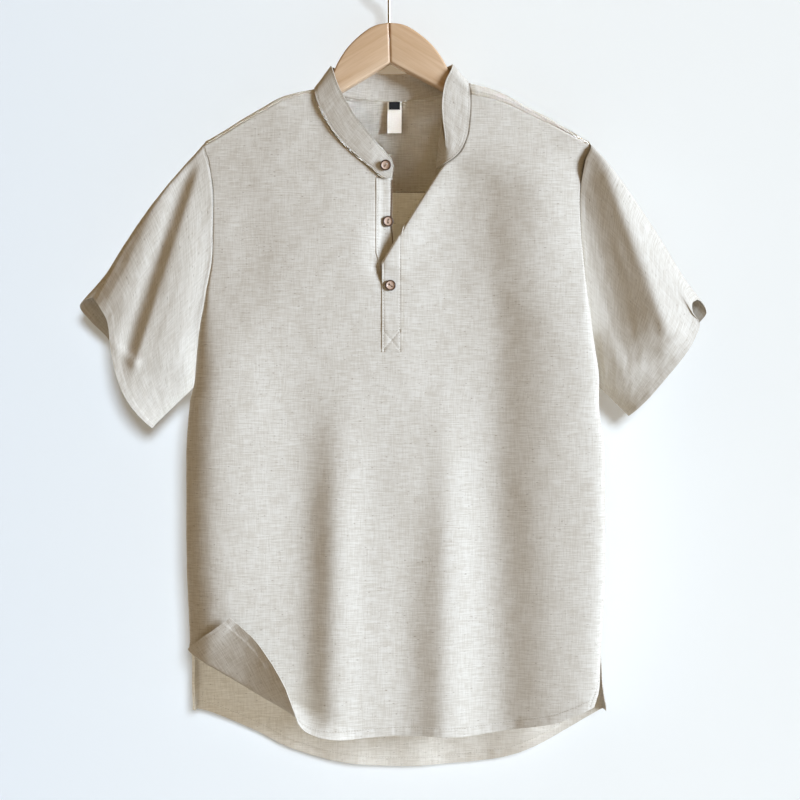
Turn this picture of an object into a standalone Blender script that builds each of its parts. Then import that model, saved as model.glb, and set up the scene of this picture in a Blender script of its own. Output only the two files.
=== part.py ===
"""Short-sleeved popover shirt with a band collar, hung on a flat wooden hanger with a wire hook.

Every size and table is in millimetres and becomes metres as a mesh is made. +Z is up, the shirt's
front faces -Y, and +X is on the right of someone who looks at the front. The origin is the inside
of the top of the hook, where a rail carries it.

A point of the body's cloth is named by two numbers, as on a paper pattern: "s", the length along
the cloth across the body from its middle line, and "z", its height. drape() hangs such a point on
the hanger. The front's lower corner and its open neck edge are first folded over in the flat.
"""
import math
from collections import namedtuple

import bmesh
import bpy
import numpy as np
from mathutils import Matrix, Vector

MM = 0.001

# ---------------------------------------------------------------- driving sizes
CLOTH = 1.2              # one layer of the linen blend
BAND_CLOTH = 2.0         # the collar band: two layers and an interfacing
STRIP_CLOTH = 1.4        # a placket strip, folded double
SEAM_GAP = 0.4           # left between two pieces that are sewn together
CURVED_SEAM_GAP = 1.0    # the same where the seam runs along a bend of the cloth
LAYER_GAP = 0.5          # left between two pieces that lie on each other

HANGER_THICK = 16.0
HANGER_TILT = math.radians(1.8)      # its right arm hangs a little higher
HANGER_EDGE = 2.6                    # rounding along the wood's edges
HANGER_TOP = -83.8                   # top of the wood, below the rail
MITRE_GAP = 0.3
WIRE = 3.5
HOOK_INNER = 20.0                    # radius inside the hook's loop
HOOK_SEAT = 16.0                     # wire length held in the wood

RIDGE_HALF = HANGER_THICK / 2 + CLOTH / 2 + 1.4   # the cloth's middle layer, over an arm
RIDGE_SQUARE = 3.2       # how square it lies over the wood: 2 would be round
FRONT_FLARE = 0.14       # how fast the front leaves the hanger's plane, per mm of drop
BACK_FLARE = 0.22
SIDE_ROUND = 3.2         # how square the body's cross-section is: 2 would be an ellipse

SPLIT_TOP = -756.0       # the side seams end here, above the shirt tails
UNDERARM = -480.0
YOKE_SEAM = -265.6       # the seam across the back, below the yoke
SLIT_BOTTOM = -446.0     # the lower end of the half placket
SLIT_LEFT = -14.0        # where the two placket strips are sewn to the front
SLIT_RIGHT = 14.3
SLIT_BEND = -318.0       # above it the right front's slit edge leans out with the open neck
PLACKET_MIDDLE = 3.3
OVERLAP_EDGE = -7.4      # free edge of the strip that carries the buttonholes
UNDERLAP_EDGE = 4.0      # free edge of the strip that carries the buttons
PLACKET_TOP = -257.0

BUTTON_ACROSS = 11.8
BUTTON_THICK = 2.6
BUTTON_HOLE = 1.7
BUTTON_HOLES_APART = 3.6

# ---------------------------------------------------------------- tables
Side = namedtuple("Side", "z left right back_left back_right")
SIDES = (                # side edges of the front and of the back: armholes above, side seams below
    Side(-150.0, -203.0, 222.0, -203.0, 222.0),
    Side(-219.0, -202.4, 221.0, -202.4, 221.0),
    Side(-238.0, -197.0, 213.5, -197.0, 213.5),
    Side(-280.0, -191.8, 208.3, -191.8, 208.3),
    Side(-334.0, -191.8, 210.5, -191.8, 210.5),
    Side(-385.0, -199.0, 215.8, -199.0, 215.8),
    Side(-430.0, -206.4, 221.8, -206.4, 221.8),
    Side(-480.0, -211.0, 228.0, -211.0, 228.0),
    Side(-500.0, -215.5, 227.8, -215.5, 227.8),
    Side(-560.0, -219.5, 234.0, -219.5, 234.0),
    Side(-680.0, -219.3, 234.8, -219.3, 234.8),
    Side(-756.0, -216.8, 230.8, -216.8, 230.8),
    Side(-800.0, -215.4, 229.0, -214.0, 231.0),
    Side(-840.0, -215.0, 228.0, -216.2, 238.0),
    Side(-910.0, -214.0, 226.0, -217.0, 239.0),
)

Depth = namedtuple("Depth", "z front back front_arm back_arm")
DEPTHS = (               # from the hanger's plane to the cloth: in the middle, and at the armholes
    Depth(-150.0, 24.0, 16.0, 10.0, 10.0),
    Depth(-219.0, 25.0, 18.0, 10.0, 10.0),
    Depth(-265.0, 30.0, 20.0, 15.0, 12.0),
    Depth(-335.0, 36.0, 22.0, 20.0, 15.0),
    Depth(-400.0, 40.0, 24.0, 20.0, 15.0),
    Depth(-450.0, 42.0, 25.0, 12.0, 9.0),
    Depth(-478.0, 42.0, 25.0, 1.0, 1.0),
    Depth(-480.0, 42.0, 25.0, 0.0, 0.0),
    Depth(-620.0, 42.0, 25.0, 0.0, 0.0),
    Depth(-770.0, 40.0, 24.0, 0.0, 0.0),
    Depth(-910.0, 38.0, 22.0, 0.0, 0.0),
)

Ridge = namedtuple("Ridge", "x z")
RIDGE = (                # the cloth's top line over the hanger's arms and across the neck
    Ridge(-240.0, -240.0),
    Ridge(-222.0, -228.0),
    Ridge(-204.6, -216.4),
    Ridge(-181.5, -202.6),
    Ridge(-160.0, -189.0),
    Ridge(-138.6, -176.6),
    Ridge(-115.5, -164.4),
    Ridge(-98.0, -159.6),
    Ridge(-84.0, -157.0),
    Ridge(-60.0, -150.0),
    Ridge(0.0, -144.0),
    Ridge(60.0, -145.0),
    Ridge(89.0, -150.2),
    Ridge(108.0, -154.8),
    Ridge(130.9, -164.4),
    Ridge(151.8, -176.0),
    Ridge(179.3, -190.6),
    Ridge(200.2, -203.0),
    Ridge(222.2, -217.0),
    Ridge(240.0, -230.0),
)

Point = namedtuple("Point", "x z")
FRONT_NECK_LEFT = (      # neck seam of the left front, from the placket to the shoulder
    Point(-14.0, -250.4), Point(-28.6, -238.6), Point(-42.2, -226.6), Point(-51.5, -217.4),
    Point(-60.7, -206.0), Point(-68.3, -193.6), Point(-75.4, -180.5), Point(-80.3, -169.0),
    Point(-82.4, -161.5),
)
FRONT_NECK_RIGHT = (     # the same seam on the right front, laid flat again from its fold
    Point(32.0, -262.0), Point(48.0, -252.5), Point(62.0, -241.2), Point(77.0, -228.3),
    Point(84.6, -212.0), Point(88.2, -188.0), Point(89.2, -163.0),
)
BACK_NECK = (            # neck seam of the yoke, from the left shoulder to the right
    Point(-79.0, -158.6), Point(-54.5, -161.5), Point(-32.3, -164.9), Point(0.0, -167.1),
    Point(34.3, -164.9), Point(60.0, -159.3), Point(84.5, -153.6),
)
FRONT_HEM_LEFT = (       # curved hem of the front, from its lower corner to the middle
    Point(-207.0, -831.5), Point(-186.0, -838.5), Point(-147.5, -848.5), Point(-123.5, -855.0),
    Point(-97.0, -860.0), Point(-74.0, -862.5), Point(-35.0, -862.0), Point(3.3, -860.0),
)
FRONT_HEM_RIGHT = (
    Point(3.3, -860.0), Point(44.4, -860.2), Point(84.2, -861.0), Point(119.8, -857.0),
    Point(150.0, -852.0), Point(179.0, -846.5), Point(207.0, -836.0), Point(221.5, -829.6),
)
BACK_HEM = (
    Point(-216.2, -838.5), Point(-199.5, -844.1), Point(-182.8, -850.8), Point(-149.3, -866.4),
    Point(-115.9, -883.3), Point(-82.5, -894.2), Point(-49.1, -900.9), Point(-15.7, -904.2),
    Point(25.5, -905.3), Point(67.8, -903.1), Point(101.2, -899.8), Point(134.6, -893.1),
    Point(168.0, -880.0), Point(201.4, -861.7), Point(238.1, -839.5),
)

Seam = namedtuple("Seam", "x drop")
FORWARD_SEAM = (         # the shoulder seam, in front of the ridge by this drop
    Seam(-202.4, 4.0), Seam(-150.0, 4.5), Seam(-82.4, 4.5),
    Seam(89.2, 12.8), Seam(150.0, 8.5), Seam(221.0, 4.0),
)

Fold = namedtuple("Fold", "x0 z0 x1 z1 height left right rise fall")
FRONT_FOLDS = (          # soft ridges (height > 0) and troughs, from their upper to their lower end
    Fold(-52.0, -480.0, -62.0, -880.0, 10.0, 18.0, 42.0, 220.0, 0.0),
    Fold(66.0, -450.0, 60.0, -880.0, 9.0, 16.0, 38.0, 240.0, 0.0),
    Fold(172.0, -250.0, 188.0, -880.0, 11.0, 46.0, 40.0, 170.0, 0.0),
    Fold(-150.0, -330.0, -158.0, -880.0, 5.0, 40.0, 48.0, 260.0, 0.0),
    Fold(18.0, -540.0, 14.0, -880.0, -4.0, 26.0, 26.0, 220.0, 0.0),
    Fold(-128.0, -230.0, -170.0, -420.0, -2.5, 26.0, 30.0, 70.0, 90.0),
    Fold(112.0, -215.0, 150.0, -420.0, -2.5, 24.0, 26.0, 70.0, 110.0),
)
BACK_FOLDS = (
    Fold(-120.0, -330.0, -140.0, -910.0, 4.5, 34.0, 26.0, 240.0, 0.0),
    Fold(-30.0, -290.0, -44.0, -910.0, -4.0, 30.0, 24.0, 260.0, 0.0),
    Fold(52.0, -300.0, 66.0, -910.0, 4.5, 22.0, 34.0, 260.0, 0.0),
    Fold(140.0, -340.0, 158.0, -910.0, -3.5, 28.0, 24.0, 240.0, 0.0),
)
SLEEVE_FOLDS = {
    "left": (
        Fold(-204.0, -226.0, -276.0, -470.0, -8.5, 22.0, 20.0, 60.0, 60.0),
        Fold(-226.0, -236.0, -306.0, -440.0, 2.5, 14.0, 16.0, 60.0, 40.0),
        Fold(-200.0, -300.0, -250.0, -500.0, 4.0, 24.0, 18.0, 70.0, 60.0),
    ),
    "right": (
        Fold(216.0, -226.0, 280.0, -440.0, -9.5, 22.0, 20.0, 50.0, 70.0),
        Fold(238.0, -236.0, 312.0, -432.0, 4.5, 18.0, 16.0, 60.0, 50.0),
        Fold(226.0, -400.0, 268.0, -490.0, 2.5, 16.0, 18.0, 50.0, 30.0),
    ),
}

Curl = namedtuple("Curl", "along radius angle")
CORNER_FOLD_START = Point(-217.2, -757.0)   # the front's lower corner is turned up along a line
CORNER_FOLD_SLOPE = math.radians(-24.9)     # that drops to the right
CORNER_CURL = (          # how tightly, and how far in degrees, at places along that line
    Curl(-30.0, 1.9, 176.0), Curl(8.0, 1.9, 176.0), Curl(60.0, 3.4, 177.0), Curl(82.0, 4.8, 171.0),
    Curl(115.0, 9.0, 149.0), Curl(141.0, 12.0, 122.0), Curl(168.0, 16.0, 68.0),
    Curl(190.0, 20.0, 20.0), Curl(216.0, 22.0, 0.5), Curl(300.0, 22.0, 0.5),
)
CORNER_CREASES = (0.0, 2.0, 4.0, 6.0, 8.4, 11.4, 16.0, 22.0, 29.0, 37.0)
CORNER_SPINES = (20.0, 60.0, 78.0, 94.0, 108.0, 122.0, 136.0, 150.0, 164.0, 178.0, 192.0, 206.0)

NECK_FOLD_LOW = Point(-7.4, -353.4)         # the open right front is turned in along this line
NECK_FOLD_HIGH = Point(62.0, -241.2)
NECK_CURL_RADIUS = 2.4
NECK_CURL = (            # the fold runs out at the neck seam
    Curl(-500.0, NECK_CURL_RADIUS, 20.0), Curl(-10.0, NECK_CURL_RADIUS, 30.0),
    Curl(5.0, NECK_CURL_RADIUS, 110.0), Curl(18.0, NECK_CURL_RADIUS, 176.0),
    Curl(124.0, NECK_CURL_RADIUS, 178.0),
    Curl(138.0, NECK_CURL_RADIUS, 1.0), Curl(500.0, NECK_CURL_RADIUS, 1.0),
)
NECK_CREASES = tuple(NECK_CURL_RADIUS * math.pi * part / 3 for part in range(4))

Station = namedtuple("Station", "x y z top_x top_y top_z")
BAND = (                 # the collar band: its seam and, above it, its free edge, from left to right
    Station(3.2, -24.5, -256.4, 4.8, -24.0, -243.5),
    Station(-5.6, -24.9, -256.2, 2.8, -23.4, -235.6),
    Station(-13.4, -25.0, -249.9, -3.6, -22.6, -228.0),
    Station(-28.0, -23.5, -237.8, -12.0, -21.4, -219.4),
    Station(-41.5, -22.0, -225.8, -24.6, -19.6, -203.6),
    Station(-50.7, -20.8, -216.8, -32.2, -18.4, -195.0),
    Station(-59.9, -19.4, -205.5, -39.0, -17.0, -184.6),
    Station(-67.4, -17.7, -193.1, -46.4, -15.4, -171.6),
    Station(-74.5, -16.0, -180.0, -52.6, -13.8, -160.2),
    Station(-79.2, -13.5, -168.6, -57.6, -12.2, -148.4),
    Station(-81.0, -10.9, -160.6, -61.0, -11.0, -138.0),
    Station(-81.2, -6.4, -156.0, -62.8, -7.0, -132.2),
    Station(-80.0, 0.0, -155.2, -63.4, 0.0, -130.8),
    Station(-78.5, 6.5, -155.4, -61.8, 7.0, -130.6),
    Station(-75.2, 10.1, -158.0, -57.6, 10.2, -131.4),
    Station(-54.5, 12.4, -160.9, -46.0, 11.0, -133.0),
    Station(-32.3, 13.2, -164.3, -28.0, 11.8, -135.0),
    Station(0.0, 14.0, -166.5, 1.0, 12.6, -136.8),
    Station(34.3, 13.2, -164.3, 31.0, 11.8, -135.0),
    Station(60.0, 12.2, -158.7, 51.0, 11.0, -131.4),
    Station(78.6, 10.1, -153.9, 63.6, 10.2, -129.2),
    Station(83.9, 6.6, -149.3, 67.4, 7.0, -128.4),
    Station(85.3, 0.0, -148.2, 69.2, 0.0, -129.0),
    Station(86.3, -6.2, -149.2, 69.6, -7.0, -131.0),
    Station(87.4, -10.4, -154.4, 68.6, -10.6, -135.2),
    Station(88.8, -13.0, -168.0, 62.4, -12.6, -148.0),
    Station(88.1, -16.8, -188.0, 58.2, -15.6, -170.0),
    Station(84.5, -20.2, -211.8, 58.6, -18.4, -191.0),
    Station(77.0, -22.8, -227.4, 60.8, -20.2, -208.4),
    Station(68.0, -23.8, -235.8, 61.8, -21.0, -222.0),
    Station(61.6, -21.6, -239.6, 61.0, -19.6, -216.0),
    Station(56.6, -15.0, -242.5, 59.4, -13.6, -205.0),
    Station(52.0, -6.5, -245.5, 57.6, -6.0, -190.0),
)
Hem = namedtuple("Hem", "x y z")
SLEEVE_HEMS = {          # the sleeve's open end: up its front from the lowest tip, then down its back
    "left": (
        (Hem(-260.6, -1.0, -528.0), Hem(-268.9, -10.0, -519.6), Hem(-285.2, -20.0, -497.8),
         Hem(-296.1, -25.0, -470.6), Hem(-303.0, -24.0, -437.9), Hem(-307.4, -18.0, -410.7),
         Hem(-316.6, -9.0, -388.0), Hem(-324.0, -3.0, -385.5)),
        (Hem(-324.0, -3.0, -385.5), Hem(-333.0, 4.0, -387.5), Hem(-340.5, 10.0, -393.5),
         Hem(-329.5, 16.0, -410.4), Hem(-313.0, 20.0, -428.0), Hem(-298.0, 22.0, -455.0),
         Hem(-284.0, 20.0, -485.0), Hem(-270.0, 10.0, -512.0), Hem(-260.6, -1.0, -528.0)),
    ),
    "right": (
        (Hem(263.6, -1.0, -515.0), Hem(270.5, -9.0, -508.7), Hem(281.4, -15.0, -497.8),
         Hem(299.9, -20.0, -476.0), Hem(317.4, -22.0, -454.2), Hem(331.5, -20.0, -432.4),
         Hem(337.6, -18.0, -413.0), Hem(330.5, -20.0, -404.0), Hem(330.0, -13.5, -393.0),
         Hem(337.0, -6.0, -388.0)),
        (Hem(337.0, -6.0, -388.0), Hem(344.0, 0.0, -390.5), Hem(350.5, 5.0, -401.0),
         Hem(343.0, 11.0, -413.0), Hem(333.0, 15.0, -430.0), Hem(316.0, 18.0, -455.0),
         Hem(296.0, 17.0, -480.0), Hem(276.0, 9.0, -505.0), Hem(263.6, -1.0, -515.0)),
    ),
}
SLEEVE_BULGE = {"left": 8.0, "right": 5.0}   # how far the outer edge bows out, halfway down

HANGER_UPPER = (         # one arm, level: its top edge from the middle out, then its tip
    Point(0.0, -83.8), Point(14.3, -86.0), Point(35.6, -99.2), Point(48.7, -112.3),
    Point(57.5, -125.5), Point(63.5, -137.0), Point(69.0, -146.6), Point(75.0, -152.8),
    Point(82.0, -156.2), Point(90.0, -157.7), Point(98.0, -159.2), Point(106.0, -161.4),
    Point(115.5, -165.4), Point(128.5, -171.6), Point(138.6, -177.6), Point(149.0, -183.8),
    Point(162.0, -191.4), Point(176.0, -199.3), Point(189.0, -207.6), Point(195.5, -213.5),
)
HANGER_LOWER = (         # back along its underside
    Point(200.6, -223.0), Point(196.0, -231.0), Point(184.0, -230.0), Point(160.0, -216.0),
    Point(130.0, -199.5), Point(100.0, -184.0), Point(75.0, -170.0), Point(52.5, -157.3),
    Point(26.0, -142.4), Point(0.0, -127.7),
)

# ---------------------------------------------------------------- mesh fineness
SPLIT_ROWS = 3
SIDE_ROWS = 15
ARM_ROWS = 14
HALF_COLUMNS = 15
SLIT_ROWS = 8
NECK_ROWS = ARM_ROWS - SLIT_ROWS
BACK_COLUMNS = 24
BACK_ARM_ROWS = 10
YOKE_END_COLUMNS = 10
YOKE_NECK_COLUMNS = 10
YOKE_OVER_COLUMNS = 4
YOKE_LOW_ROWS = 5
YOKE_BENDS = (-40.0, -17.0, -12.5, -10.6, -8.8, -6.5, 0.0, 6.5, 8.8, 10.6, 12.5, 18.0)
SLEEVE_SIDES = 30
SLEEVE_ROWS = 11
BAND_COLUMNS = 44
BAND_ROWS = 3

FRONT, BACK = -1.0, 1.0


# ---------------------------------------------------------------- curves
def column(rows, name):
    """One named column of a table, as an array."""
    return np.array([getattr(row, name) for row in rows], float)


def smooth(rows, key, name, at):
    """Column `name` at the places `at` of column `key`, on a cubic that never overshoots."""
    order = np.argsort(column(rows, key))
    xs, ys = column(rows, key)[order], column(rows, name)[order]
    span = np.diff(xs)
    slope = np.diff(ys) / span
    tangent = np.empty_like(ys)
    before, after = slope[:-1], slope[1:]
    total = np.where(before + after == 0, 1.0, before + after)
    tangent[1:-1] = np.where(before * after > 0, 2 * before * after / total, 0.0)
    tangent[0], tangent[-1] = slope[0], slope[-1]
    at = np.asarray(at, float)
    i = np.clip(np.searchsorted(xs, at) - 1, 0, len(xs) - 2)
    t = np.clip((at - xs[i]) / span[i], 0.0, 1.0)
    rise = (3 - 2 * t) * t * t
    return (ys[i] * (1 - rise) + ys[i + 1] * rise
            + span[i] * t * (1 - t) * ((1 - t) * tangent[i] - t * tangent[i + 1]))


def through(points, count):
    """`count` points, evenly spaced, on a smooth curve through `points`."""
    points = np.array(points, float)
    chord = np.concatenate([[0.0], np.cumsum(np.linalg.norm(np.diff(points, axis=0), axis=1))])
    tangent = np.gradient(points, chord, axis=0)
    fine = np.linspace(0.0, chord[-1], 40 * len(points))
    i = np.clip(np.searchsorted(chord, fine) - 1, 0, len(chord) - 2)
    span = (chord[i + 1] - chord[i])[:, None]
    t = ((fine - chord[i]) / span[:, 0])[:, None]
    rise = (3 - 2 * t) * t * t
    curve = (points[i] * (1 - rise) + points[i + 1] * rise
             + span * t * (1 - t) * ((1 - t) * tangent[i] - t * tangent[i + 1]))
    run = np.concatenate([[0.0], np.cumsum(np.linalg.norm(np.diff(curve, axis=0), axis=1))])
    even = np.linspace(0.0, run[-1], count)
    return np.stack([np.interp(even, run, curve[:, k]) for k in range(points.shape[1])], axis=1)


def chain(*pieces):
    """Point lists joined end to end, each sharing its first point with the last one's end."""
    return np.concatenate([pieces[0]] + [piece[1:] for piece in pieces[1:]])


def coons(bottom, top, left, right):
    """A grid of points (rows, columns) that fills the space between four edges."""
    u = np.linspace(0, 1, len(bottom))[None, :, None]
    v = np.linspace(0, 1, len(left))[:, None, None]
    across = (1 - u) * left[:, None] + u * right[:, None]
    upward = (1 - v) * bottom[None] + v * top[None]
    corners = ((1 - u) * (1 - v) * bottom[0] + u * (1 - v) * bottom[-1]
               + (1 - u) * v * top[0] + u * v * top[-1])
    return across + upward - corners


def step(t):
    """0 below 0, 1 above 1, and a soft S between."""
    t = np.clip(t, 0.0, 1.0)
    return t * t * (3 - 2 * t)


# ---------------------------------------------------------------- the hung body
ACROSS = np.sin(np.linspace(-1, 1, 121) * math.pi / 2)   # a section, closer at its edges


def section(z, side):
    """Middle, half width, depth in the middle and depth at the edges of a level section."""
    left = smooth(SIDES, "z", "left" if side == FRONT else "back_left", z)
    right = smooth(SIDES, "z", "right" if side == FRONT else "back_right", z)
    deep = smooth(DEPTHS, "z", "front" if side == FRONT else "back", z)
    arm = smooth(DEPTHS, "z", "front_arm" if side == FRONT else "back_arm", z)
    return (left + right) / 2, (right - left) / 2, deep, arm


def depth_across(place, deep, arm):
    """Depth of the section at a place from -1, its left edge, to 1, its right edge."""
    outer = np.abs(place) ** SIDE_ROUND
    return (deep ** SIDE_ROUND * (1 - outer) + arm ** SIDE_ROUND * outer) ** (1 / SIDE_ROUND)


def section_run(z, side):
    """Lengths along the cloth, from the middle, at the places ACROSS of each section z."""
    middle, half, deep, arm = section(z, side)
    x = half[:, None] * ACROSS
    y = depth_across(ACROSS, deep[:, None], arm[:, None])
    run = np.cumsum(np.hypot(np.diff(x), np.diff(y)), axis=1)
    run = np.concatenate([np.zeros((len(z), 1)), run], axis=1)
    return run - run[:, len(ACROSS) // 2][:, None]


def edge_s(z, side, hand):
    """Cloth length from the middle to the edge of the section: hand -1 left, 1 right."""
    z = np.atleast_1d(np.asarray(z, float))
    return section_run(z, side)[:, 0 if hand < 0 else -1]


def to_cloth(points, side):
    """Pattern points (s, z) of points given by x and z."""
    points = np.array(points, float)
    x, z = points[:, 0], points[:, 1]
    middle, half, _, _ = section(z, side)
    run = section_run(z, side)
    place = (x - middle) / half
    s = np.array([np.interp(p, ACROSS, r) for p, r in zip(place, run)])
    s += np.sign(place) * np.maximum(np.abs(place) - 1, 0) * half
    return np.stack([s, z], axis=1)


def ridge_depth(drop, side):
    """Distance of the cloth from the hanger's plane at a drop below its top line."""
    drop = np.maximum(drop, 0.0)
    level = 1 - np.minimum(drop, RIDGE_HALF) / RIDGE_HALF
    flare = FRONT_FLARE if side == FRONT else BACK_FLARE
    bend = RIDGE_HALF * (1 - level ** RIDGE_SQUARE) ** (1 / RIDGE_SQUARE)
    return bend + flare * np.maximum(drop - RIDGE_HALF, 0)


def shallower(deep, limit):
    """The smaller of two depths, blended where they meet."""
    return np.maximum((deep + limit - np.sqrt((deep - limit) ** 2 + 1.0)) / 2, 0.0)


def fold_height(x, z, folds):
    """Sum of the soft folds at (x, z), outward."""
    total = np.zeros_like(x)
    for fold in folds:
        run = np.array([fold.x1 - fold.x0, fold.z1 - fold.z0])
        length = np.linalg.norm(run)
        run = run / length
        along = (x - fold.x0) * run[0] + (z - fold.z0) * run[1]
        off = (x - fold.x0) * -run[1] + (z - fold.z0) * run[0]
        width = np.where(off < 0, fold.left, fold.right)
        fade = step(along / fold.rise)
        if fold.fall:
            fade = fade * step((length - along) / fold.fall)
        total += fold.height * np.exp(-(off / width) ** 2) * fade
    return total


def skin(s, z, side):
    """Points of the hung body at pattern points (s, z)."""
    middle, half, deep, arm = section(z, side)
    run = section_run(z, side)
    index = np.linspace(-1, 1, len(ACROSS))
    place = np.array([np.interp(si, ri, index) for si, ri in zip(s, run)])
    place = np.sin(place * math.pi / 2)
    past = s - np.clip(s, run[:, 0], run[:, -1])
    x = middle + half * place + past
    y = depth_across(place, deep, arm)
    limit = ridge_depth(smooth(RIDGE, "x", "z", x) - z, side)
    y = shallower(y, limit)
    folds = FRONT_FOLDS if side == FRONT else BACK_FOLDS
    y = y + fold_height(x, z, folds) * (1 - np.abs(place) ** 6)
    return np.stack([x, side * y, z], axis=1)


def drape(s, z, side, lift=0.0):
    """Points of the hung body, moved out of the cloth by `lift`."""
    s, z = np.asarray(s, float), np.asarray(z, float)
    points = skin(s, z, side)
    along = skin(s + 1, z, side) - skin(s - 1, z, side)
    up = skin(s, z + 1, side) - skin(s, z - 1, side)
    out = np.cross(along, up) if side == FRONT else np.cross(up, along)
    out /= np.linalg.norm(out, axis=1)[:, None]
    return points + out * np.reshape(lift, (-1, 1))


def fold_over(s, z, start, heading, curl, turn):
    """Pattern points past a fold line, rolled over it; returns s, z and the lift."""
    ahead = np.array([math.cos(heading), math.sin(heading)])
    past_way = np.array([ahead[1], -ahead[0]]) * turn
    ds, dz = s - start[0], z - start[1]
    along = ds * ahead[0] + dz * ahead[1]
    past = ds * past_way[0] + dz * past_way[1]
    radius = smooth(curl, "along", "radius", along)
    angle = np.radians(smooth(curl, "along", "angle", along))
    arc = radius * angle
    rolled = np.clip(past, 0, arc) / radius
    rest = np.maximum(past - arc, 0)
    out = np.where(past > 0, radius * np.sin(rolled) + rest * np.cos(angle), past)
    lift = radius * (1 - np.cos(rolled)) + rest * np.sin(angle)
    return (start[0] + along * ahead[0] + out * past_way[0],
            start[1] + along * ahead[1] + out * past_way[1], lift)


def corner_fold(s, z):
    """The front's lower left corner, turned up towards the viewer."""
    start = to_cloth([CORNER_FOLD_START], FRONT)[0]
    return fold_over(s, z, start, CORNER_FOLD_SLOPE, CORNER_CURL, 1.0)


def neck_line():
    """Start and heading of the line along which the open right front is turned in."""
    low, high = to_cloth([NECK_FOLD_LOW, NECK_FOLD_HIGH], FRONT)
    return low, math.atan2(high[1] - low[1], high[0] - low[0])


def neck_fold(s, z):
    """The right front's edge at the open neck, turned in behind it."""
    start, heading = neck_line()
    s, z, lift = fold_over(s, z, start, heading, NECK_CURL, -1.0)
    return s, z, -lift


def sink(x, z):
    """How far the left front dips behind the folded placket."""
    return 7.0 * np.exp(-((x - 2.0) / 20.0) ** 2) * step((z + 420) / 60) * step((-270 - z) / 55)


# ---------------------------------------------------------------- meshes
def collection(name):
    """A new collection in the scene."""
    made = bpy.data.collections.new(name)
    bpy.context.scene.collection.children.link(made)
    return made


def finish(name, color, rough, metal=0.0):
    """A plain finish."""
    material = bpy.data.materials.new(name)
    material.use_nodes = True
    shader = material.node_tree.nodes["Principled BSDF"]
    shader.inputs["Base Color"].default_value = (*color, 1.0)
    shader.inputs["Roughness"].default_value = rough
    shader.inputs["Metallic"].default_value = metal
    return material


def add(name, mesh, material):
    """An object of the part."""
    mesh.materials.clear()
    mesh.materials.append(material)
    made = bpy.data.objects.new(name, mesh)
    PART.objects.link(made)
    return made


def grid(bm, points, closed=False):
    """Quads over a grid of points; a closed grid joins its last column to its first."""
    rows, columns = points.shape[:2]
    verts = [[bm.verts.new(point) for point in row] for row in points]
    for r in range(rows - 1):
        for c in range(columns if closed else columns - 1):
            n = (c + 1) % columns
            bm.faces.new((verts[r][c], verts[r][n], verts[r + 1][n], verts[r + 1][c]))


def flat(points):
    """Pattern points with a third number, so that they can be a flat mesh."""
    return np.concatenate([points, np.zeros(points.shape[:2] + (1,))], axis=2)


def crease(bm, start, heading, turn, offsets, spines=()):
    """Edges across a flat pattern, along a fold line and beside it, and square to it past it."""
    ahead = Vector((math.cos(heading), math.sin(heading), 0))
    past_way = Vector((ahead.y, -ahead.x, 0)) * turn
    origin = Vector((start[0], start[1], 0))
    for offset in offsets:
        bmesh.ops.bisect_plane(
            bm, geom=bm.verts[:] + bm.edges[:] + bm.faces[:], dist=0.2,
            plane_co=origin + past_way * offset, plane_no=past_way)
    for along in spines:
        faces = [f for f in bm.faces if (f.calc_center_median() - origin).dot(past_way) > 0]
        edges = list({edge for face in faces for edge in face.edges})
        verts = list({vert for face in faces for vert in face.verts})
        bmesh.ops.bisect_plane(bm, geom=verts + edges + faces, dist=0.6,
                               plane_co=origin + ahead * along, plane_no=ahead)
    many = [face for face in bm.faces if len(face.verts) > 4]
    bmesh.ops.triangulate(bm, faces=many, ngon_method="BEAUTY")


def place(bm, where):
    """Every vertex of a flat pattern moved to where(s, z)."""
    bm.verts.ensure_lookup_table()
    s = np.array([v.co.x for v in bm.verts])
    z = np.array([v.co.y for v in bm.verts])
    for vert, point in zip(bm.verts, where(s, z)):
        vert.co = Vector(point)


def as_mesh(name, bm, merge=0.01):
    """A finished mesh in metres."""
    bmesh.ops.remove_doubles(bm, verts=bm.verts, dist=merge)
    bmesh.ops.scale(bm, vec=(MM, MM, MM), verts=bm.verts)
    mesh = bpy.data.meshes.new(name)
    bm.to_mesh(mesh)
    bm.free()
    mesh.shade_smooth()
    return mesh


def wall(made, thick):
    """The open surface of an object made a wall of cloth, half its thickness to each side."""
    solid = made.modifiers.new("Wall", "SOLIDIFY")
    solid.thickness = thick * MM
    solid.offset = 0.0
    return made


def joined(*parts):
    """Several open patterns in one bmesh."""
    whole = bmesh.new()
    for part in parts:
        mesh = bpy.data.meshes.new("part")
        part.to_mesh(mesh)
        part.free()
        whole.from_mesh(mesh)
        bpy.data.meshes.remove(mesh)
    return whole


# ---------------------------------------------------------------- body panels
def seam_points(left_x, right_x, count):
    """Points of the forward shoulder seam between two places."""
    x = np.linspace(left_x, right_x, count)
    z = smooth(RIDGE, "x", "z", x) - smooth(FORWARD_SEAM, "x", "drop", x)
    return np.stack([x, z], axis=1)


def arm_heights(top, rows):
    """Heights up an armhole, closer near the underarm."""
    return UNDERARM + (top - UNDERARM) * np.linspace(0, 1, rows + 1) ** 1.25


def side_edge(side, hand, corner, split_rows, arm_rows, top):
    """A panel's side edge in the flat: split, side seam, armhole."""
    half_gap = SEAM_GAP / 2 * hand
    split = np.linspace(0, 1, split_rows + 1)[:, None]
    seam_z = np.linspace(SPLIT_TOP, UNDERARM, SIDE_ROWS + 1)
    arm_z = arm_heights(top, arm_rows)
    seam = np.stack([edge_s(seam_z, side, hand) - half_gap, seam_z], axis=1)
    arm = np.stack([edge_s(arm_z, side, hand) - half_gap, arm_z], axis=1)
    return chain(np.array(corner) * (1 - split) + seam[0] * split, seam, arm)


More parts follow.
